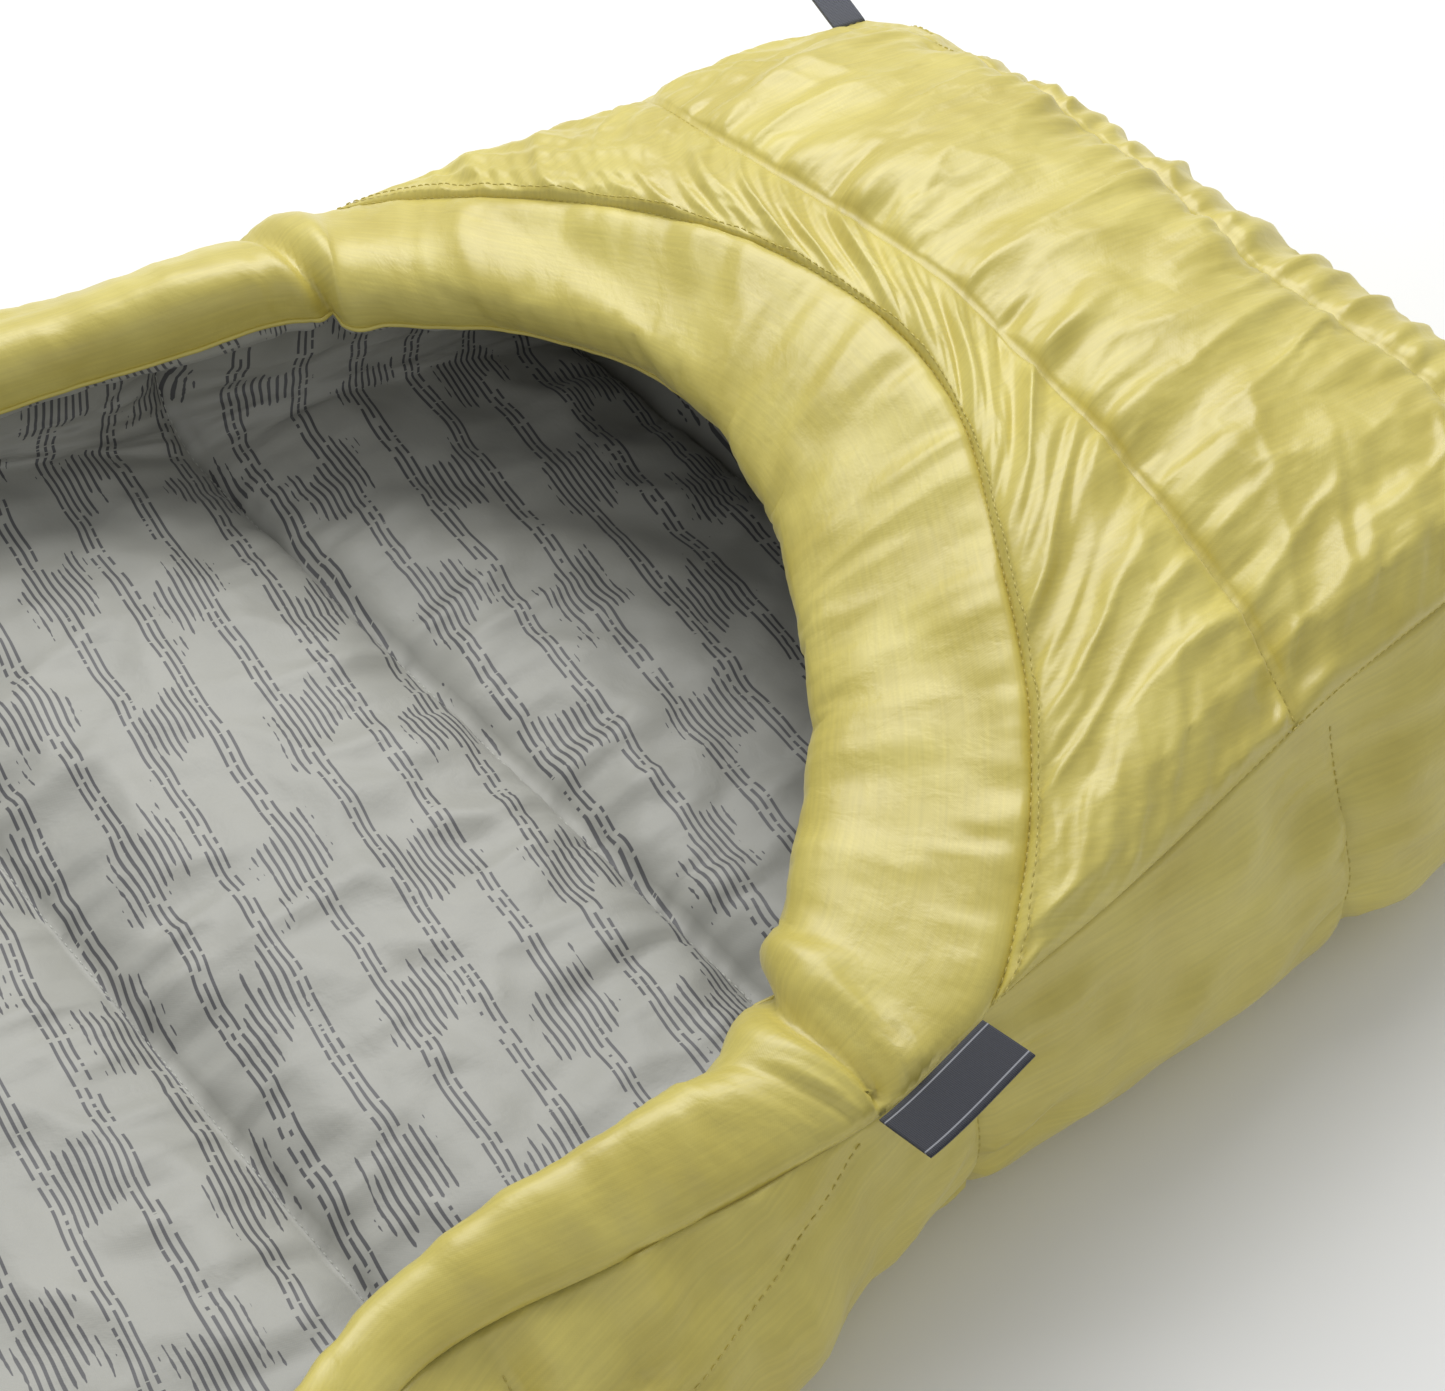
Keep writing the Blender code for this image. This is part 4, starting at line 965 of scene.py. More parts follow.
def round_cord(name, path, radius, material, sides=8):
    """A thin round cord of cloth along a path, closed at both ends."""
    path = np.asarray(path)
    ahead = np.gradient(path, axis=0)
    ahead /= np.linalg.norm(ahead, axis=1, keepdims=True)
    side = np.cross(ahead, [0, 0, 1.0])
    side /= np.linalg.norm(side, axis=1, keepdims=True)
    up = np.cross(side, ahead)
    a = np.arange(sides) * math.tau / sides
    ring = path[:, None] + radius * (
        np.cos(a)[None, :, None] * side[:, None] + np.sin(a)[None, :, None] * up[:, None])
    faces = [tuple(f) for f in grid_faces(len(path), sides, wrap=True)]
    faces += [tuple(range(sides))[::-1], tuple((len(path) - 1) * sides + j for j in range(sides))]
    gone = lengths_along(path[:, None], 0)[:, 0]
    shape = (len(path), sides)
    uv = np.stack([np.broadcast_to(a * radius, shape), np.broadcast_to(gone[:, None], shape)], axis=-1)
    piece = new_piece(name, ring.reshape(-1, 3), faces, uv.reshape(-1, 2), None, (material,))
    face_out(piece)
    return piece


lip_piping = round_cord("lip_piping", lip + lip_normals * PIPING_LIFT, PIPING_RADIUS, shell_cloth)
print("piping made of", len(lip_piping.data.vertices), "points")
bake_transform(lip_piping)

# %% [markdown]
# ## The body
# The body is the quilt itself: shell below, lining above and nine cross chambers of down between them. At
# each cross seam the two cloths are held close, and they part to the full loft between. The wall that
# holds them could be a solid of its own, but it can't be seen, so the two cloths stand for it. One grid of
# sections gives both: the outer points, and the inner ones at the loft's distance along each section's
# own inward direction. Rows lie closest where the eye looks, in the middle chambers.

# %% Body sections
BODY_COLUMNS = 116  # on each side of the middle
ROWS_IN_CHAMBER = (17, 17, 17, 17, 33, 51, 51, 41, 19)  # from the head to the foot
LIFT_FADE = 0.18  # the edge's lift dies out this far in


def body_rows():
    """Where the body's rows of points lie along the quilt, with one on every cross seam."""
    marks = [HEAD_FACE] + SEAMS[::-1] + [FOOT_FACE]
    parts = [np.linspace(low, high, count) for low, high, count in zip(marks, marks[1:], ROWS_IN_CHAMBER)]
    return np.concatenate([p[:-1] for p in parts] + [[FOOT_FACE]])


def body_section(y, side, columns):
    """Outer points, inward directions, distance from the rim and from the middle, rim first."""
    floor, radius, curl, rise = (v[:, None] for v in edge_at(y, side))
    total = rise + radius * curl + floor
    q = np.linspace(0, 1, columns)[None]
    d = q * total
    back = np.clip(rise - d, 0, None)
    angle = np.clip(curl - np.clip(d - rise, 0, None) / radius, 0, None)
    beyond = np.clip(d - rise - radius * curl, 0, None)
    x = floor + radius * np.sin(angle) + back * np.cos(curl) - beyond
    z = radius * (1 - np.cos(angle)) + back * np.sin(curl) + RIM_LIFT * np.clip(1 - d / LIFT_FADE, 0, 1)
    points = np.stack([side * x, np.broadcast_to(y[:, None], x.shape), z], axis=-1)
    inward = np.stack([-side * np.sin(angle), 0 * angle, np.cos(angle)], axis=-1)
    return points, inward, d, total - d


print("the body has", len(body_rows()), "rows of", 2 * BODY_COLUMNS - 1, "points")

# %% [markdown]
# ## The side walls
# Each side wall is sewn from a separate gusset, so a seam runs low along it, from the mouth's corner
# towards the head, and the down makes the wall swell between the cross seams. Both are small shifts of
# the outer points along their inward directions, so they need no mesh of their own.

# %% Side walls
# How far in from the edge the gusset's seam lies, at places along the quilt.
SIDE_SEAM = np.array(((-0.066, 0.10), (0.10, 0.095), (0.25, 0.085), (0.35, 0.066), (0.42, 0.040), (0.494, 0.004)))

FLOOR_DIP, WALL_SWELL = 0.0045, 0.010  # how far seams draw the floor in, and down pushes the walls out


def side_seam_dip(rim_gap, y):
    """How far the cloth is drawn in at the gusset's seam and gathered beside it."""
    line = smooth_curve(SIDE_SEAM[:, 0], SIDE_SEAM[:, 1], y)[:, None]
    there = (ease(-0.20, -0.05, y) * (1 - ease(0.485, 0.495, y)))[:, None]
    gap = np.abs(rim_gap - line)
    folds = puckers(np.broadcast_to(y[:, None], gap.shape), gap, 1.1, 300)
    return there * (0.0030 * np.exp(-(gap / 0.006) ** 2) - folds * ease(0.004, 0.02, gap))


def shell_face(points, inward, rim_gap, puff):
    """The shell's face: drawn in at the cross seams and swelling between them on the walls."""
    wall = ease(0.004, 0.04, points[..., 2]) * ease(0, 0.03, rim_gap)
    drawn_in = FLOOR_DIP * (1 - puff) * (1 - wall) - WALL_SWELL * (puff - 0.75) * wall
    return points + inward * drawn_in[..., None]


def along_line(gaps, points, wanted, side):
    """The point of one row that lies a wanted distance in from the near (0) or far (1) edge."""
    half = slice(0, BODY_COLUMNS) if side == 0 else slice(None, BODY_COLUMNS - 1, -1)
    return np.array([np.interp(wanted, gaps[half], points[half, k]) for k in range(3)])


print("the gusset's seam runs from y =", SIDE_SEAM[-1, 0], "to", SIDE_SEAM[0, 0])

# %% Body
BODY_PRESSURE, BODY_LIMIT = 0.6, 0.010  # the chambers are softer than the rolls, and their cloth moves less
BODY_CUT = np.array([1.04, 1.03, 1.03])
TURNED_EDGE = 0.05  # the body thins to the rim over this length


def body_grid(y):
    """The body's grid, near edge first: points, inward directions, gap to the rim, place across."""
    near, far = body_section(y, 1, BODY_COLUMNS), body_section(y, -1, BODY_COLUMNS)
    grids = [np.concatenate([n, f[:, ::-1][:, 1:]], axis=1) for n, f in zip(near, far)]
    grids[3][:, BODY_COLUMNS:] *= -1
    return grids


def body_gathers(y, across, lie, rim_gap, puff):
    """Height of the body's wrinkles before it is relaxed."""
    gathers = 0.0030 * (0.35 - np.abs(grid_noise(across, lie, 0.055, 0.050, 31)))
    gathers += 0.0016 * grid_noise(across, lie, 0.020, 0.030, 32)
    for k, seam in enumerate(SEAMS):
        rows_by = np.abs(y - seam) < 0.11
        gathers[rows_by] += puckers(across[rows_by], np.abs(lie[rows_by] - seam), 0.9, 100 + 5 * k)
    return gathers * ((1 - np.exp(-puff / 0.15)) * np.clip(rim_gap / 0.02, 0, 1))


def sew_body(y, rim_gap, outer, inner, inward):
    """Notes down the cross seams inside and out, and the gusset's seam on both sides."""
    for seam in SEAMS:
        row = np.argmin(abs(y - seam))
        rides = "fold" if seam == FOLD_SEAM else "foot_half" if seam > FOLD_SEAM else "head_half"
        stitch_lines.append(("lining", inner[row, 4:-4], inward[row, 4:-4], rides))
        stitch_lines.append(("shell", outer[row, 4:-4], -inward[row, 4:-4], rides))
    line = smooth_curve(SIDE_SEAM[:, 0], SIDE_SEAM[:, 1], y)
    rows = np.flatnonzero((y > 0.0) & (y < 0.49))
    for side in (0, 1):
        first = BODY_COLUMNS * side
        gaps = rim_gap[:, first:first + BODY_COLUMNS - 1]
        columns = [int(np.argmin(np.abs(gaps[k] - line[k]))) + first for k in rows]
        path = np.array([along_line(rim_gap[k], outer[k], line[k], side) for k in rows])
        stitch_lines.append(("shell", path, -inward[rows, columns], "foot_half"))


def make_body():
    y = body_rows()
    points, inward, rim_gap, centre = body_grid(y)
    puff = pillow(y)[:, None]
    outer = shell_face(points, inward, rim_gap, puff)
    thick = SEAM_HEIGHT + (LOFT - SEAM_HEIGHT) * puff
    edge = np.clip(rim_gap / TURNED_EDGE, 0, 1)
    thick = edge * thick + (1 - edge) * RIM
    tight = np.where(points[..., 0] > 0, edge_at(y, 1)[1][:, None], edge_at(y, -1)[1][:, None])
    curled = ease(0.004, 0.02, points[..., 2]) * edge
    thick = (1 - curled) * thick + curled * np.minimum(thick, 0.8 * tight)
    inner = points + inward * thick[..., None]
    rows, columns = inner.shape[:2]
    sewn = np.zeros((rows, columns))
    for seam in SEAMS:
        sewn[np.argmin(abs(y - seam))] = 1
    sewn[(0, -1), :] = 1
    sewn[:, (0, 1, -2, -1)] = 1
    across = np.broadcast_to(centre, sewn.shape)
    lie = np.broadcast_to(y[:, None], sewn.shape)
    gathers = body_gathers(y, across, lie, rim_gap, puff)
    inner = inner + inward * gathers[..., None]
    sides = 1.3 * gathers[:, ::-1] * ease(0.005, 0.04, points[..., 2])
    outer = outer - inward * sides[..., None]
    outer[..., 2] = np.maximum(outer[..., 2], 0.0)
    faces, cut = grid_faces(rows, columns), (inner * BODY_CUT).reshape(-1, 3)
    moved = relax_cloth(inner.reshape(-1, 3), faces, sewn.ravel(), cut, BODY_PRESSURE, limit=BODY_LIMIT)
    inner = moved.reshape(inner.shape)
    outer = outer + inward * side_seam_dip(rim_gap, y)[..., None]
    sew_body(y, rim_gap, outer, inner, inward)
    flat = np.stack([centre, np.broadcast_to(y[:, None], centre.shape)], axis=-1)
    return join_skins("body", outer, inner, flat, flat, (shell_cloth, lining_cloth))


body = make_body()
print("body made of", len(body.data.vertices), "points")
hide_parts("shell_floor_foot", "shell_floor_head", "shell_side_near_foot", "shell_side_near_head",
            "shell_side_far_foot", "shell_side_far_head", "lining_foot", "lining_head",
            *[f"fill_chamber_{k}" for k in range(1, 10)], *[f"baffle_wall_{k}" for k in (1, 2, 3, 4, 6, 7, 8)])
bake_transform(body)

# %% [markdown]
# ## The foot end
# A stuffed panel closes the foot box. It is cut to the box's own outline and sewn to the shell all round,
# so the outline is read from the shell's last section and the top's last row. Rings of that outline, each
# a little smaller, make a grid like a spider's web, and a steep dome over it swells the panel right
# from its seam. The web's middle is kept calm, because gathers that all meet in one point look false.

# %% Foot end
END_POINTS, END_RINGS = 360, 26  # round the outline, and from it to the middle
END_MIDDLE = np.array([0, FOOT_FACE, 0.078])
END_SWELL, END_SWELL_IN, END_REACH = 0.029, 0.010, 0.036  # outwards, into the box, and at most


def foot_end_outline():
    """The line that the foot end is sewn along: down the near wall, up the far one and over the top."""
    near, far = (shell_face(*body_section(np.array([FOOT_FACE]), side, 120)[:3], np.zeros((1, 1)))[0]
                 for side in (1, -1))
    top = foot_top_base()[0][-1]
    outline = smooth_path(np.vstack([near[::6], far[::-6][1:], top[::-1][8:-8:12]]), END_POINTS + 1)[:-1]
    outline[:, 1] = FOOT_FACE
    return outline


def make_foot_end():
    """The stuffed panel that closes the foot box, sewn round the shell's end."""
    outline, rings = foot_end_outline(), END_RINGS
    r = np.linspace(1, 0.03, rings) ** 0.8
    grid = END_MIDDLE + (outline - END_MIDDLE)[None] * r[:, None, None]
    length = np.linalg.norm(np.diff(outline, axis=0, append=outline[:1]), axis=1).cumsum()
    gap = np.broadcast_to(((1 - r) * 0.10)[:, None], grid.shape[:2])
    around = np.broadcast_to(length, grid.shape[:2])
    dome = np.sqrt(np.clip(1 - r ** 6, 0, 1))[:, None]
    outer, inner = grid.copy(), grid.copy()
    calm = dome * ease(0.25, 0.75, r)[:, None]
    crumple = 0.0022 * grid_noise(grid[..., 0], grid[..., 2], 0.035, 0.050, 230)
    outer[..., 1] += (END_SWELL + crumple) * dome + puckers(around, gap, 0.8, 210) * calm
    inner[..., 1] -= (END_SWELL_IN + crumple) * dome - puckers(around, gap, 0.7, 220) * calm
    outer[..., 1] = np.minimum(outer[..., 1], FOOT_FACE + END_REACH)
    inner = inner[1:]
    count = len(outline)
    points = np.vstack([outer.reshape(-1, 3), inner.reshape(-1, 3), outer[-1].mean(0)[None], inner[-1].mean(0)[None]])
    start = rings * count
    faces = [tuple(f) for f in grid_faces(rings, count, wrap=True)]
    kinds = [0] * len(faces)
    back = grid_faces(rings - 1, count, start=start, flip=True, wrap=True)
    ring = np.arange(count)
    ahead = np.roll(ring, -1)
    close = np.stack([ahead, ring, start + ring, start + ahead], axis=1)
    last, last_in = (rings - 1) * count, start + (rings - 2) * count
    centre_out, centre_in = len(points) - 2, len(points) - 1
    faces += [tuple(f) for f in back] + [tuple(f) for f in close]
    kinds += [1] * len(back) + [0] * len(close)
    faces += [(last + a, last + b, centre_out) for a, b in zip(ring, ahead)]
    kinds += [0] * count
    faces += [(last_in + b, last_in + a, centre_in) for a, b in zip(ring, ahead)]
    kinds += [1] * count
    stitch_lines.append(("foot_end", outer[1], np.tile([0, 1.0, 0], (count, 1)), "foot_half"))
    piece = new_piece("foot_end", points, faces, points[:, (0, 2)], kinds, (shell_cloth, lining_cloth))
    face_out(piece)
    return piece


foot_end = make_foot_end()
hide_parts("foot_end_lining", "foot_end_fill", "foot_end_shell")
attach(foot_end, "foot_half")
print("foot end made of", len(foot_end.data.vertices), "points")

# %% [markdown]
# ## The head tube
# At the head end the quilt is closed by one more stuffed roll, the draft tube that lies under the chin. It
# runs across from one side roll to the other and is a little flattened by the cloth on both sides. It is
# swept round the body's last section, with the yellow cloth outside and the lining below its seam.

# %% Head tube
TUBE_HALF, TUBE_DEPTH = 0.0150, 0.034  # half its height, and how far it stands out past the body
TUBE_POINTS, TUBE_SEAM = 26, 19  # points in its section, and the one where the two cloths meet
TUBE_OPEN = 112  # degrees up to which the roll is drawn, above and below


def make_head_tube():
    """A stuffed roll along the head end, from one side tube to the other."""
    y = np.array([HEAD_FACE])
    near, far = body_section(y, 1, 150), body_section(y, -1, 150)
    low = np.concatenate([near[0][0], far[0][0][::-1][1:]])
    inward = np.concatenate([near[1][0], far[1][0][::-1][1:]])
    turn = np.radians(np.linspace(-TUBE_OPEN, TUBE_OPEN, TUBE_POINTS))[None, :, None]
    middle = low + inward * TUBE_HALF
    ring = middle[:, None] + inward[:, None] * (TUBE_HALF * np.sin(turn)) \
        + np.array([0, -TUBE_DEPTH, 0]) * np.cos(turn)
    across = lengths_along(ring, 0)
    around = lengths_along(ring, 1)
    ends = np.stack([around, around[:, -1:] - around]).min(axis=0)
    bump = puckers(across, ends, 0.7, 240) + 0.0015 * grid_noise(across, around, 0.04, 0.05, 250)
    bump *= np.sin(np.linspace(0, math.pi, TUBE_POINTS))[None]
    ring = ring + bump[..., None] * normals_round(ring)
    ring[..., 2] = np.maximum(ring[..., 2], 0.0008 * (ring[..., 1] > HEAD_FACE))
    ring[..., 1] = np.maximum(ring[..., 1], HEAD_FACE - 0.036)
    rows, columns = ring.shape[:2]
    faces = [tuple(f) for f in grid_faces(rows, columns, wrap=True)]
    faces += [tuple(range(columns))[::-1], tuple((rows - 1) * columns + j for j in range(columns))]
    kinds = np.append(np.tile((np.arange(columns) >= TUBE_SEAM).astype(int), rows - 1), [0, 0])
    stitch_lines.append(("head_end", ring[4:-4, TUBE_SEAM], inward[4:-4], "head_half"))
    flat = np.stack([across, around], axis=-1).reshape(-1, 2)
    piece = new_piece("head_tube", ring.reshape(-1, 3), faces, flat, kinds, (shell_cloth, lining_cloth))
    face_out(piece)
    return piece


head_tube = make_head_tube()
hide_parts("head_tube_cover", "head_tube_fill")
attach(head_tube, "head_half")
print("head tube made of", len(head_tube.data.vertices), "points")

# %% [markdown]
# ## Thread
# The seams are sewn with twisted polyester thread, yellow on the shell and pale grey on the lining. A
# thread this thin shows no twist. What the eye gets is a soft line of light that changes from stitch to
# stitch, so its tone drifts over one or two stitches, on the object's own coordinates.

# %% Thread
TONE_DRIFT = 0.006


def spun_thread(name, ground, light):
    """Twisted polyester thread: a soft shine and a slight change of tone from stitch to stitch."""
    material, tree, shader = new_material(name)
    place = add_node(tree, "ShaderNodeTexCoord").outputs["Object"]
    drift = add_node(tree, "ShaderNodeTexNoise", Vector=place, Scale=1 / TONE_DRIFT, Detail=2.0)
    colour = add_node(tree, "ShaderNodeMix", {"data_type": "RGBA"},
                      i0=drift.outputs[0], i6=linear(ground), i7=linear(light))
    tree.links.new(colour.outputs[2], shader.inputs["Base Color"])
    shader.inputs["Roughness"].default_value = 0.48
    return material


thread = spun_thread("polyester sewing thread, yellow", "#B9A94F", "#D2C46E")
pale_thread = spun_thread("polyester sewing thread, pale grey", "#B9BAB2", "#D0D1C8")
print("made", thread.name, "and", pale_thread.name)

# %% [markdown]
# ## Stitches
# A row of stitches could be a dashed line in the cloth's colour, but stitches stand up and catch the
# light. Each is a short rod with four square sections, which starts under the cloth, lies on it and dives
# in again. There are thousands, so each has only fourteen faces, and all on one body are one piece. Where a
# row lies on the fold itself, it stays in place with the body and rides on neither half.

# %% Stitches
STITCH, STITCH_GAP, THREAD = 0.0030, 0.0012, 0.00042  # length, gap, half the thread's thickness
# Place along the stitch, height over the cloth and size, both in half thicknesses.
STITCH_PROFILE = ((0, -0.6, 0.3), (0.2, 0.6, 1.0), (0.8, 0.6, 1.0), (1.0, -0.6, 0.3))
FIRST_STITCH = 0.002


def stitch_faces():
    """The faces of one stitch: three lengths of four sides, closed at both ends."""
    faces = [(4 * r + c, 4 * r + (c + 1) % 4, 4 * r + 4 + (c + 1) % 4, 4 * r + 4 + c)
             for r in range(3) for c in range(4)]
    return faces + [(3, 2, 1, 0), (12, 13, 14, 15)]


def make_stitches(name, lines, material):
    """Short raised stitches along sewn lines. Each is a thread that dips into the cloth at both ends."""
    points, faces = [], []
    for line, normal in lines:
        gone = np.concatenate([[0], np.cumsum(np.linalg.norm(np.diff(line, axis=0), axis=1))])
        starts = np.arange(FIRST_STITCH, gone[-1] - STITCH, STITCH + STITCH_GAP)

        def read(values, at):
            return np.stack([np.interp(at, gone, values[:, k]) for k in range(3)], axis=-1)

        rings = []
        for share, lift, size in STITCH_PROFILE:
            place, up = read(line, starts + share * STITCH), read(normal, starts + share * STITCH)
            ahead = read(line, starts + STITCH) - read(line, starts)
            side = np.cross(ahead, up)
            side /= np.maximum(np.linalg.norm(side, axis=1, keepdims=True), 1e-9)
            up = up / np.maximum(np.linalg.norm(up, axis=1, keepdims=True), 1e-9)
            middle = place + up * THREAD * lift
            rings.append(np.stack([middle + THREAD * size * (math.cos(a) * side + math.sin(a) * up)
                                   for a in (0.785, 2.356, 3.927, 5.498)], axis=1))
        base = len(points)
        points.extend(np.stack(rings, axis=1).reshape(-1, 3).tolist())
        for k in range(len(starts)):
            faces.extend(tuple(base + 16 * k + corner for corner in face) for face in stitch_faces())
    points = np.array(points)
    piece = new_piece(name, points, faces, points[:, :2], None, (material,))
    face_out(piece)
    print(name, "has", len(faces) // 14, "stitches")
    return piece


for group, rides in dict.fromkeys((name, body_name) for name, _, _, body_name in stitch_lines):
    lines = [(line, normal) for name, line, normal, body_name in stitch_lines if (name, body_name) == (group, rides)]
    stitches = make_stitches(f"stitches_{group}_{rides}", lines, pale_thread if group == "lining" else thread)
    if rides == "fold":
        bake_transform(stitches)
    else:
        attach(stitches, rides)

# %% [markdown]
# ## Label and webbing
# The label is a damask ribbon with a fine pale line woven in along each long edge. The tabs and loops are
# ribbed webbing. Both are narrow woven bands, so one function makes both finishes: ribs across, with
# painted highlight on their raised tops and painted shade in the hollows between them, and a faint fuzz
# that varies the tone at random. The real ribs are finer than these, which are drawn to show. The label
# is left plain.

# %% Woven bands
FUZZ = 0.0012
LINE_COLOUR, LINE_FROM, LINE_FULL = "#9A9CA3", 0.00045, 0.00025


def woven_strip(name, ground, light, pitch, line_at=None):
    """A narrow woven band: ribs across it, painted lighter on their tops and darker between them as painted highlight
    and shade, and a faint fuzz.
    """
    material, tree, shader = new_material(name)
    uv = cloth_place(tree)
    part = add_node(tree, "ShaderNodeSeparateXYZ", i0=uv)
    waves = []
    for axis, length in ((1, pitch), (0, pitch * 0.7)):
        turned = add_node(tree, "ShaderNodeMath", {"operation": "MULTIPLY"},
                          i0=part.outputs[axis], i1=math.tau / length)
        waves.append(add_node(tree, "ShaderNodeMath", {"operation": "SINE"}, i0=turned.outputs[0]).outputs[0])
    cross = add_node(tree, "ShaderNodeMath", {"operation": "MULTIPLY"}, i0=waves[1], i1=0.35)
    height = add_node(tree, "ShaderNodeMath", {"operation": "MULTIPLY_ADD"}, i0=waves[0], i1=0.5, i2=cross.outputs[0])
    fuzz = add_node(tree, "ShaderNodeTexNoise", Vector=uv, Scale=1 / FUZZ, Detail=3.0)
    fuzzy = add_node(tree, "ShaderNodeMath", {"operation": "ADD"}, i0=height.outputs[0], i1=fuzz.outputs[0])
    # Painted highlight and shade: the colour is lighter where the ribs stand up and darker in the hollows between
    # them, and the fuzz varies it at random.
    tone = add_node(tree, "ShaderNodeMapRange", i0=fuzzy.outputs[0], i1=-0.5, i2=1.6)
    colour = add_node(tree, "ShaderNodeMix", {"data_type": "RGBA"},
                      i0=tone.outputs[0], i6=linear(ground), i7=linear(light))
    if line_at:  # how far from the middle the fine pale line lies, on both sides
        out = add_node(tree, "ShaderNodeMath", {"operation": "ABSOLUTE"}, i0=part.outputs[0])
        past = add_node(tree, "ShaderNodeMath", {"operation": "SUBTRACT"}, i0=out.outputs[0], i1=line_at)
        beside = add_node(tree, "ShaderNodeMath", {"operation": "ABSOLUTE"}, i0=past.outputs[0])
        line = add_node(tree, "ShaderNodeMapRange", i0=beside.outputs[0], i1=LINE_FROM, i2=LINE_FULL)
        colour = add_node(tree, "ShaderNodeMix", {"data_type": "RGBA"},
                          i0=line.outputs[0], i6=colour.outputs[2], i7=linear(LINE_COLOUR))
    tree.links.new(colour.outputs[2], shader.inputs["Base Color"])
    shader.inputs["Roughness"].default_value = 0.7
    shader.inputs["Sheen Weight"].default_value = 0.15
    bump = add_node(tree, "ShaderNodeBump", Height=height.outputs[0], Distance=0.0002, Strength=0.7)
    tree.links.new(bump.outputs[0], shader.inputs["Normal"])
    return material


label_weave = woven_strip("damask woven label, charcoal", "#2A2C34", "#3C3F4A", 0.0007, line_at=0.0103)
webbing_grey = woven_strip("polyester webbing, slate", "#4B4E59", "#666975", 0.0012)
print("made", label_weave.name, "and", webbing_grey.name)

# %% [markdown]
# ## Flat strips
# A ribbon is flat, but not a box: its edges are woven tight and a little thinner. A plane with Solidify
# would have square edges, so a strip is two matching grids along a path, which also lets it curve.

# %% Strips
STRIP_COLUMNS, EDGE_THINNER = 15, 0.35


def strip(name, path, across, half_width, thickness, material):
    """A flat woven strip along a path: across is its width's direction at each point."""
    path, across = np.asarray(path, float), np.asarray(across, float)
    ahead = np.gradient(path, axis=0)
    up = np.cross(ahead, across)
    up /= np.linalg.norm(up, axis=1, keepdims=True)
    w = np.linspace(-1, 1, STRIP_COLUMNS)[None, :, None]
    edge = thickness * (1 - EDGE_THINNER * np.abs(w) ** 6) / 2
    top = path[:, None] + across[:, None] * half_width * w + up[:, None] * edge
    low = path[:, None] + across[:, None] * half_width * w - up[:, None] * edge
    flat = np.stack([np.broadcast_to(w[..., 0] * half_width, top.shape[:2]),
                     np.broadcast_to(lengths_along(path[:, None], 0)[:, 0][:, None], top.shape[:2])], axis=-1)
    return join_skins(name, top, low, flat, flat, (material, material))


# %% Label
LABEL_FROM, LABEL_TO, LABEL_ROWS = 0.4945, 0.5465, 60
LABEL_ROOT = np.array([0.0022, 0, 0.0014])  # from the edge's seam, clear of the roll
LABEL_REACH = np.array([0.0258, 0.0008, 0.0050])  # across the label, from its root to its free edge
LABEL_WAVE, LABEL_THICKNESS = 0.0010, 0.0013


def make_label():
    """The woven label, sewn into the near wall's seam and lying a little wavy."""
    y = np.linspace(LABEL_FROM, LABEL_TO, LABEL_ROWS)
    width = np.linalg.norm(LABEL_REACH)
    wave = LABEL_WAVE * np.sin((y - y[0]) * 70)
    path = rim_at(y, 1) + LABEL_ROOT + LABEL_REACH / 2 + np.stack([0 * y, 0 * y, wave + 0.0008], axis=1)
    return strip("woven_label_strip", path, np.tile(LABEL_REACH / width, (LABEL_ROWS, 1)), width / 2,
                 LABEL_THICKNESS, label_weave)


label = make_label()
print("the label is", round(float(np.linalg.norm(LABEL_REACH)) * 1000, 1), "mm wide")
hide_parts("woven_label")
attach(label, "label")

# %% [markdown]
# ## Tabs
# A short tab of webbing at the foot end's far corner is for hanging the quilt up to dry. Two more at the
# head end close it round the neck. They are the same plain strips, at their own places, and the neck
# tabs take theirs from the model.

# %% Corner tab
TAB_ROWS, TAB_THICKNESS = 24, 0.0016
TAB_REACH = np.array([-0.0275, 0, 0.0135])


def make_corner_tab():
    """A tab of webbing that stands out from the far top corner of the foot end."""
    width = np.linalg.norm(TAB_REACH)
    seam = rim_at(np.linspace(0.912, 0.930, TAB_ROWS), -1)
    return strip("corner_tab_strip", seam + TAB_REACH / 2, np.tile(TAB_REACH / width, (TAB_ROWS, 1)), width / 2,
                 TAB_THICKNESS, webbing_grey)


corner_tab = make_corner_tab()
print("the corner tab is", round(float(np.linalg.norm(TAB_REACH)) * 1000, 1), "mm long")
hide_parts("foot_corner_tab")
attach(corner_tab, "corner_tab")

# %% Neck tabs
NECK_ROWS, NECK_THICKNESS, NECK_ROOT = 30, 0.0017, 0.001  # the root is sewn this far into the side


def make_neck_tab(side, name):
    """One of the two tabs that close the quilt behind the neck."""
    low, high = (np.array(c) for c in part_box(f"neck_tab_{name}"))
    inside = min(abs(low[0]), abs(high[0])) - NECK_ROOT
    x = np.linspace(inside, max(abs(low[0]), abs(high[0])), NECK_ROWS) * side
    middle = (low + high) / 2
    path = np.stack([x, np.full(NECK_ROWS, middle[1]), np.full(NECK_ROWS, middle[2])], axis=1)
    piece = strip(f"neck_tab_{name}_strip", path, np.tile([0, 1.0, 0], (NECK_ROWS, 1)), (high[1] - low[1]) / 2,
                  NECK_THICKNESS, webbing_grey)
    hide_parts(f"neck_tab_{name}")
    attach(piece, f"neck_tab_{name}_side")
    print("neck tab", name, "is", round(float(abs(x[-1] - x[0])) * 1000, 1), "mm long")


make_neck_tab(1, "near")
make_neck_tab(-1, "far")

# %% [markdown]
# ## Mattress loops
# Two loops on each side take a strap that goes round a sleeping mat. A loop is a length of webbing, folded
# back on itself and sewn in by both ends, so its section along the quilt is a flat ring, pointed towards
# the root. The ring is swept here in one go, as a closed band with its two faces and two edges.

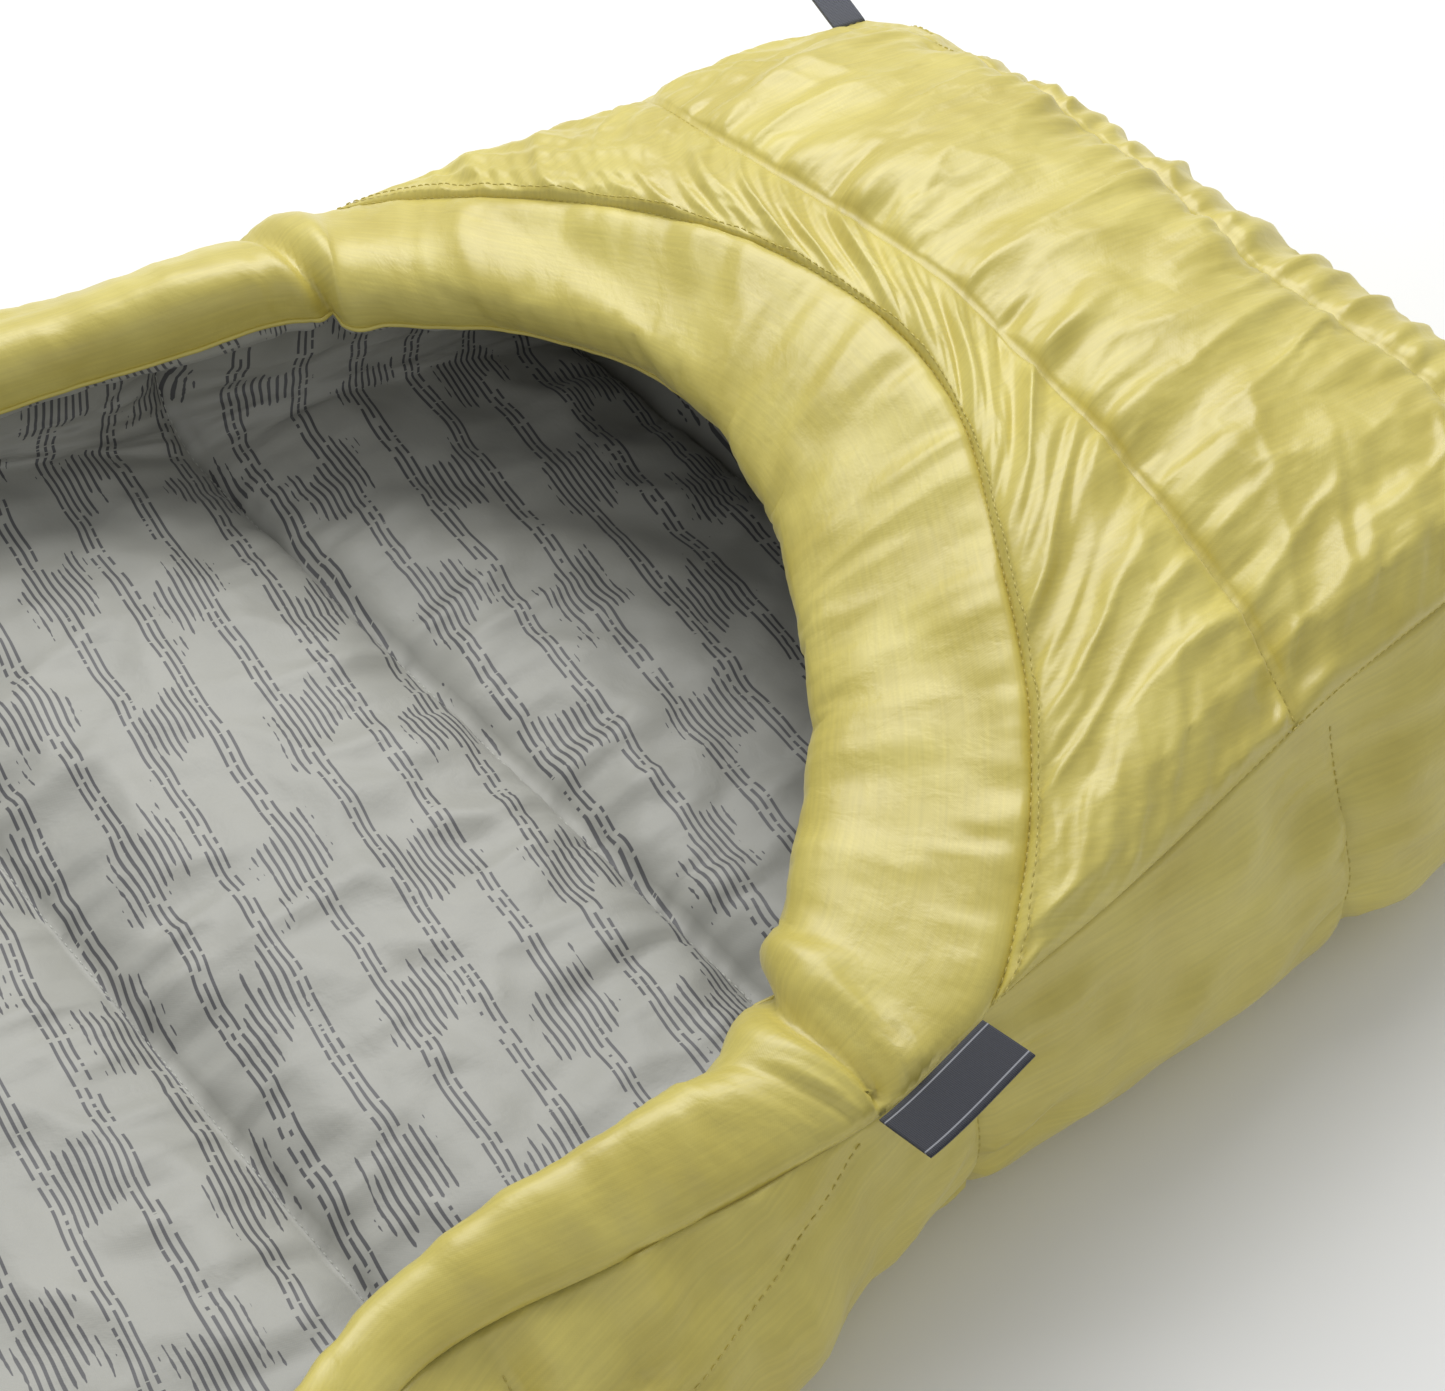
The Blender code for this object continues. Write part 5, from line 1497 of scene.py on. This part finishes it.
# %% Mattress loops
LOOP_STEPS, LOOP_COLUMNS, LOOP_THICKNESS = 48, 9, 0.0015
LOOP_TAPER = 0.25  # how much wider the ring opens at its free end


def make_loop(name):
    """A loop of narrow webbing, sewn into the shell's side, for a strap to a mattress."""
    low, high = (np.array(c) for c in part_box(f"mattress_loop_{name}"))
    centre, size = (low + high) / 2, (high - low)
    turn = np.linspace(0, 2 * math.pi, LOOP_STEPS + 1)[:-1]
    out = 1 if centre[0] > 0 else -1
    open_wide = (1 + LOOP_TAPER * np.cos(turn)) / (1 + LOOP_TAPER)
    ring = np.stack([np.cos(turn) * (size[0] / 2 - LOOP_THICKNESS / 2) * out, 0 * turn,
                     np.sin(turn) * (size[2] / 2 - LOOP_THICKNESS / 2) * open_wide], axis=1)
    w = np.linspace(-1, 1, LOOP_COLUMNS) * size[1] / 2
    normal = np.stack([np.cos(turn) * out * size[2], 0 * turn, np.sin(turn) * size[0]], axis=1)
    normal /= np.linalg.norm(normal, axis=1, keepdims=True)
    points, uv = [], []
    for k in range(LOOP_STEPS):
        for sign in (1, -1):  # the outside, and then the inside in the other direction
            p = centre + ring[k] + normal[k] * sign * LOOP_THICKNESS / 2
            points += [(p[0], centre[1] + at * sign, p[2]) for at in w]
            uv += [(at * sign, k * 0.0012) for at in w]
    columns = 2 * LOOP_COLUMNS
    faces = []
    for k in range(LOOP_STEPS):
        for j in range(columns):
            n, m = (k + 1) % LOOP_STEPS, (j + 1) % columns
            faces.append((k * columns + j, k * columns + m, n * columns + m, n * columns + j))
    piece = new_piece(f"mattress_loop_{name}_webbing", np.array(points), faces, np.array(uv), None, (webbing_grey,))
    face_out(piece)
    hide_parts(f"mattress_loop_{name}")
    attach(piece, f"loop_{name}")


for name in ("near_1", "near_2", "far_1", "far_2"):
    make_loop(name)
print("mattress loops made, each of", LOOP_STEPS * 2 * LOOP_COLUMNS, "points")

# %% [markdown]
# ## The press stud's plastic
# The stud that joins the two neck tabs is moulded from black acetal, a smooth and slightly waxy plastic.
# Its mould has a fine grain that breaks up the highlight. That is a noise finer than a millimetre,
# used for the tone and for a very low bump.

# %% Moulded plastic
MOULD_GRAIN, GRAIN_DEPTH = 0.0006, 0.00005  # the real grain is about 0.05 mm; it is drawn to show


def moulded_plastic(name, ground, light):
    """Acetal, injection moulded: smooth and waxy, with a fine spark-eroded grain and a soft shine."""
    material, tree, shader = new_material(name)
    place = add_node(tree, "ShaderNodeTexCoord").outputs["Object"]
    grain = add_node(tree, "ShaderNodeTexNoise", Vector=place, Scale=1 / MOULD_GRAIN, Detail=2.0)
    colour = add_node(tree, "ShaderNodeMix", {"data_type": "RGBA"},
                      i0=grain.outputs[0], i6=linear(ground), i7=linear(light))
    tree.links.new(colour.outputs[2], shader.inputs["Base Color"])
    shader.inputs["Roughness"].default_value = 0.38
    shader.inputs["IOR"].default_value = 1.48
    bump = add_node(tree, "ShaderNodeBump", Height=grain.outputs[0], Distance=GRAIN_DEPTH, Strength=0.5)
    tree.links.new(bump.outputs[0], shader.inputs["Normal"])
    return material


snap_plastic = moulded_plastic("acetal, moulded, black", "#191A1D", "#24262A")
print("made", snap_plastic.name)

# %% [markdown]
# ## The press stud
# Each half is a round disc with a raised rim: one has a stud in its middle and the other a socket. Both are
# turned shapes that could be spun from a profile. A cylinder, inset and extruded on its top face three
# times, is as round and takes fewer steps, and a bevel softens its edges as the mould does.

# %% Press stud
# All of these are shares of the half's width (insets) or of its height (the rest).
DISC_HEIGHT, RIM_INSET, FLOOR_DEPTH, CORE_INSET = 0.62, 0.10, 0.18, 0.14
STUD_HEIGHT, SOCKET_HEIGHT, TOP_INSET, SOCKET_DEPTH = 0.52, 0.30, 0.06, 0.40
SOFT_EDGE = 0.00022


def make_snap(node, rides, stud):
    """One half of a press stud: a turned disc with a rolled edge, and a stud or a socket in its middle."""
    low, high = (np.array(c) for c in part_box(node))
    width, height = float(high[0] - low[0]), float(high[2] - low[2])
    place = [float(c) for c in (low + high) / 2]
    place[2] = float(low[2]) + height * DISC_HEIGHT / 2
    bpy.ops.object.select_all(action="DESELECT")
    bpy.ops.mesh.primitive_cylinder_add(vertices=48, radius=width / 2, depth=height * DISC_HEIGHT, location=place)
    piece = bpy.context.object
    piece.name = f"{node}_turned"
    bpy.ops.object.transform_apply(location=True)
    bpy.ops.object.mode_set(mode="EDIT")
    shape = bmesh.from_edit_mesh(piece.data)
    top = max(shape.faces, key=lambda face: face.calc_center_median().z)
    for face in shape.faces:
        face.select_set(face == top)
    bmesh.update_edit_mesh(piece.data)
    core = height * (STUD_HEIGHT if stud else SOCKET_HEIGHT)
    bpy.ops.mesh.inset(thickness=width * RIM_INSET)
    bpy.ops.transform.translate(value=(0, 0, -height * FLOOR_DEPTH))
    bpy.ops.mesh.inset(thickness=width * CORE_INSET)
    bpy.ops.mesh.extrude_region_move(TRANSFORM_OT_translate={"value": (0, 0, core)})
    bpy.ops.mesh.inset(thickness=width * TOP_INSET)
    if not stud:
        bpy.ops.mesh.extrude_region_move(TRANSFORM_OT_translate={"value": (0, 0, -height * SOCKET_DEPTH)})
    bpy.ops.object.mode_set(mode="OBJECT")
    bevel = piece.modifiers.new("soft edges", "BEVEL")
    bevel.width, bevel.segments, bevel.limit_method, bevel.angle_limit = SOFT_EDGE, 3, "ANGLE", math.radians(35)
    bpy.ops.object.modifier_apply(modifier=bevel.name)
    bpy.ops.object.shade_smooth_by_angle(angle=math.radians(40))
    piece.data.materials.append(snap_plastic)
    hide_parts(node)
    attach(piece, rides)
    print(piece.name, "is", round(width * 1000, 1), "mm wide")


make_snap("snap_socket", "neck_tab_near_side", False)
make_snap("snap_stud", "neck_tab_far_side", True)
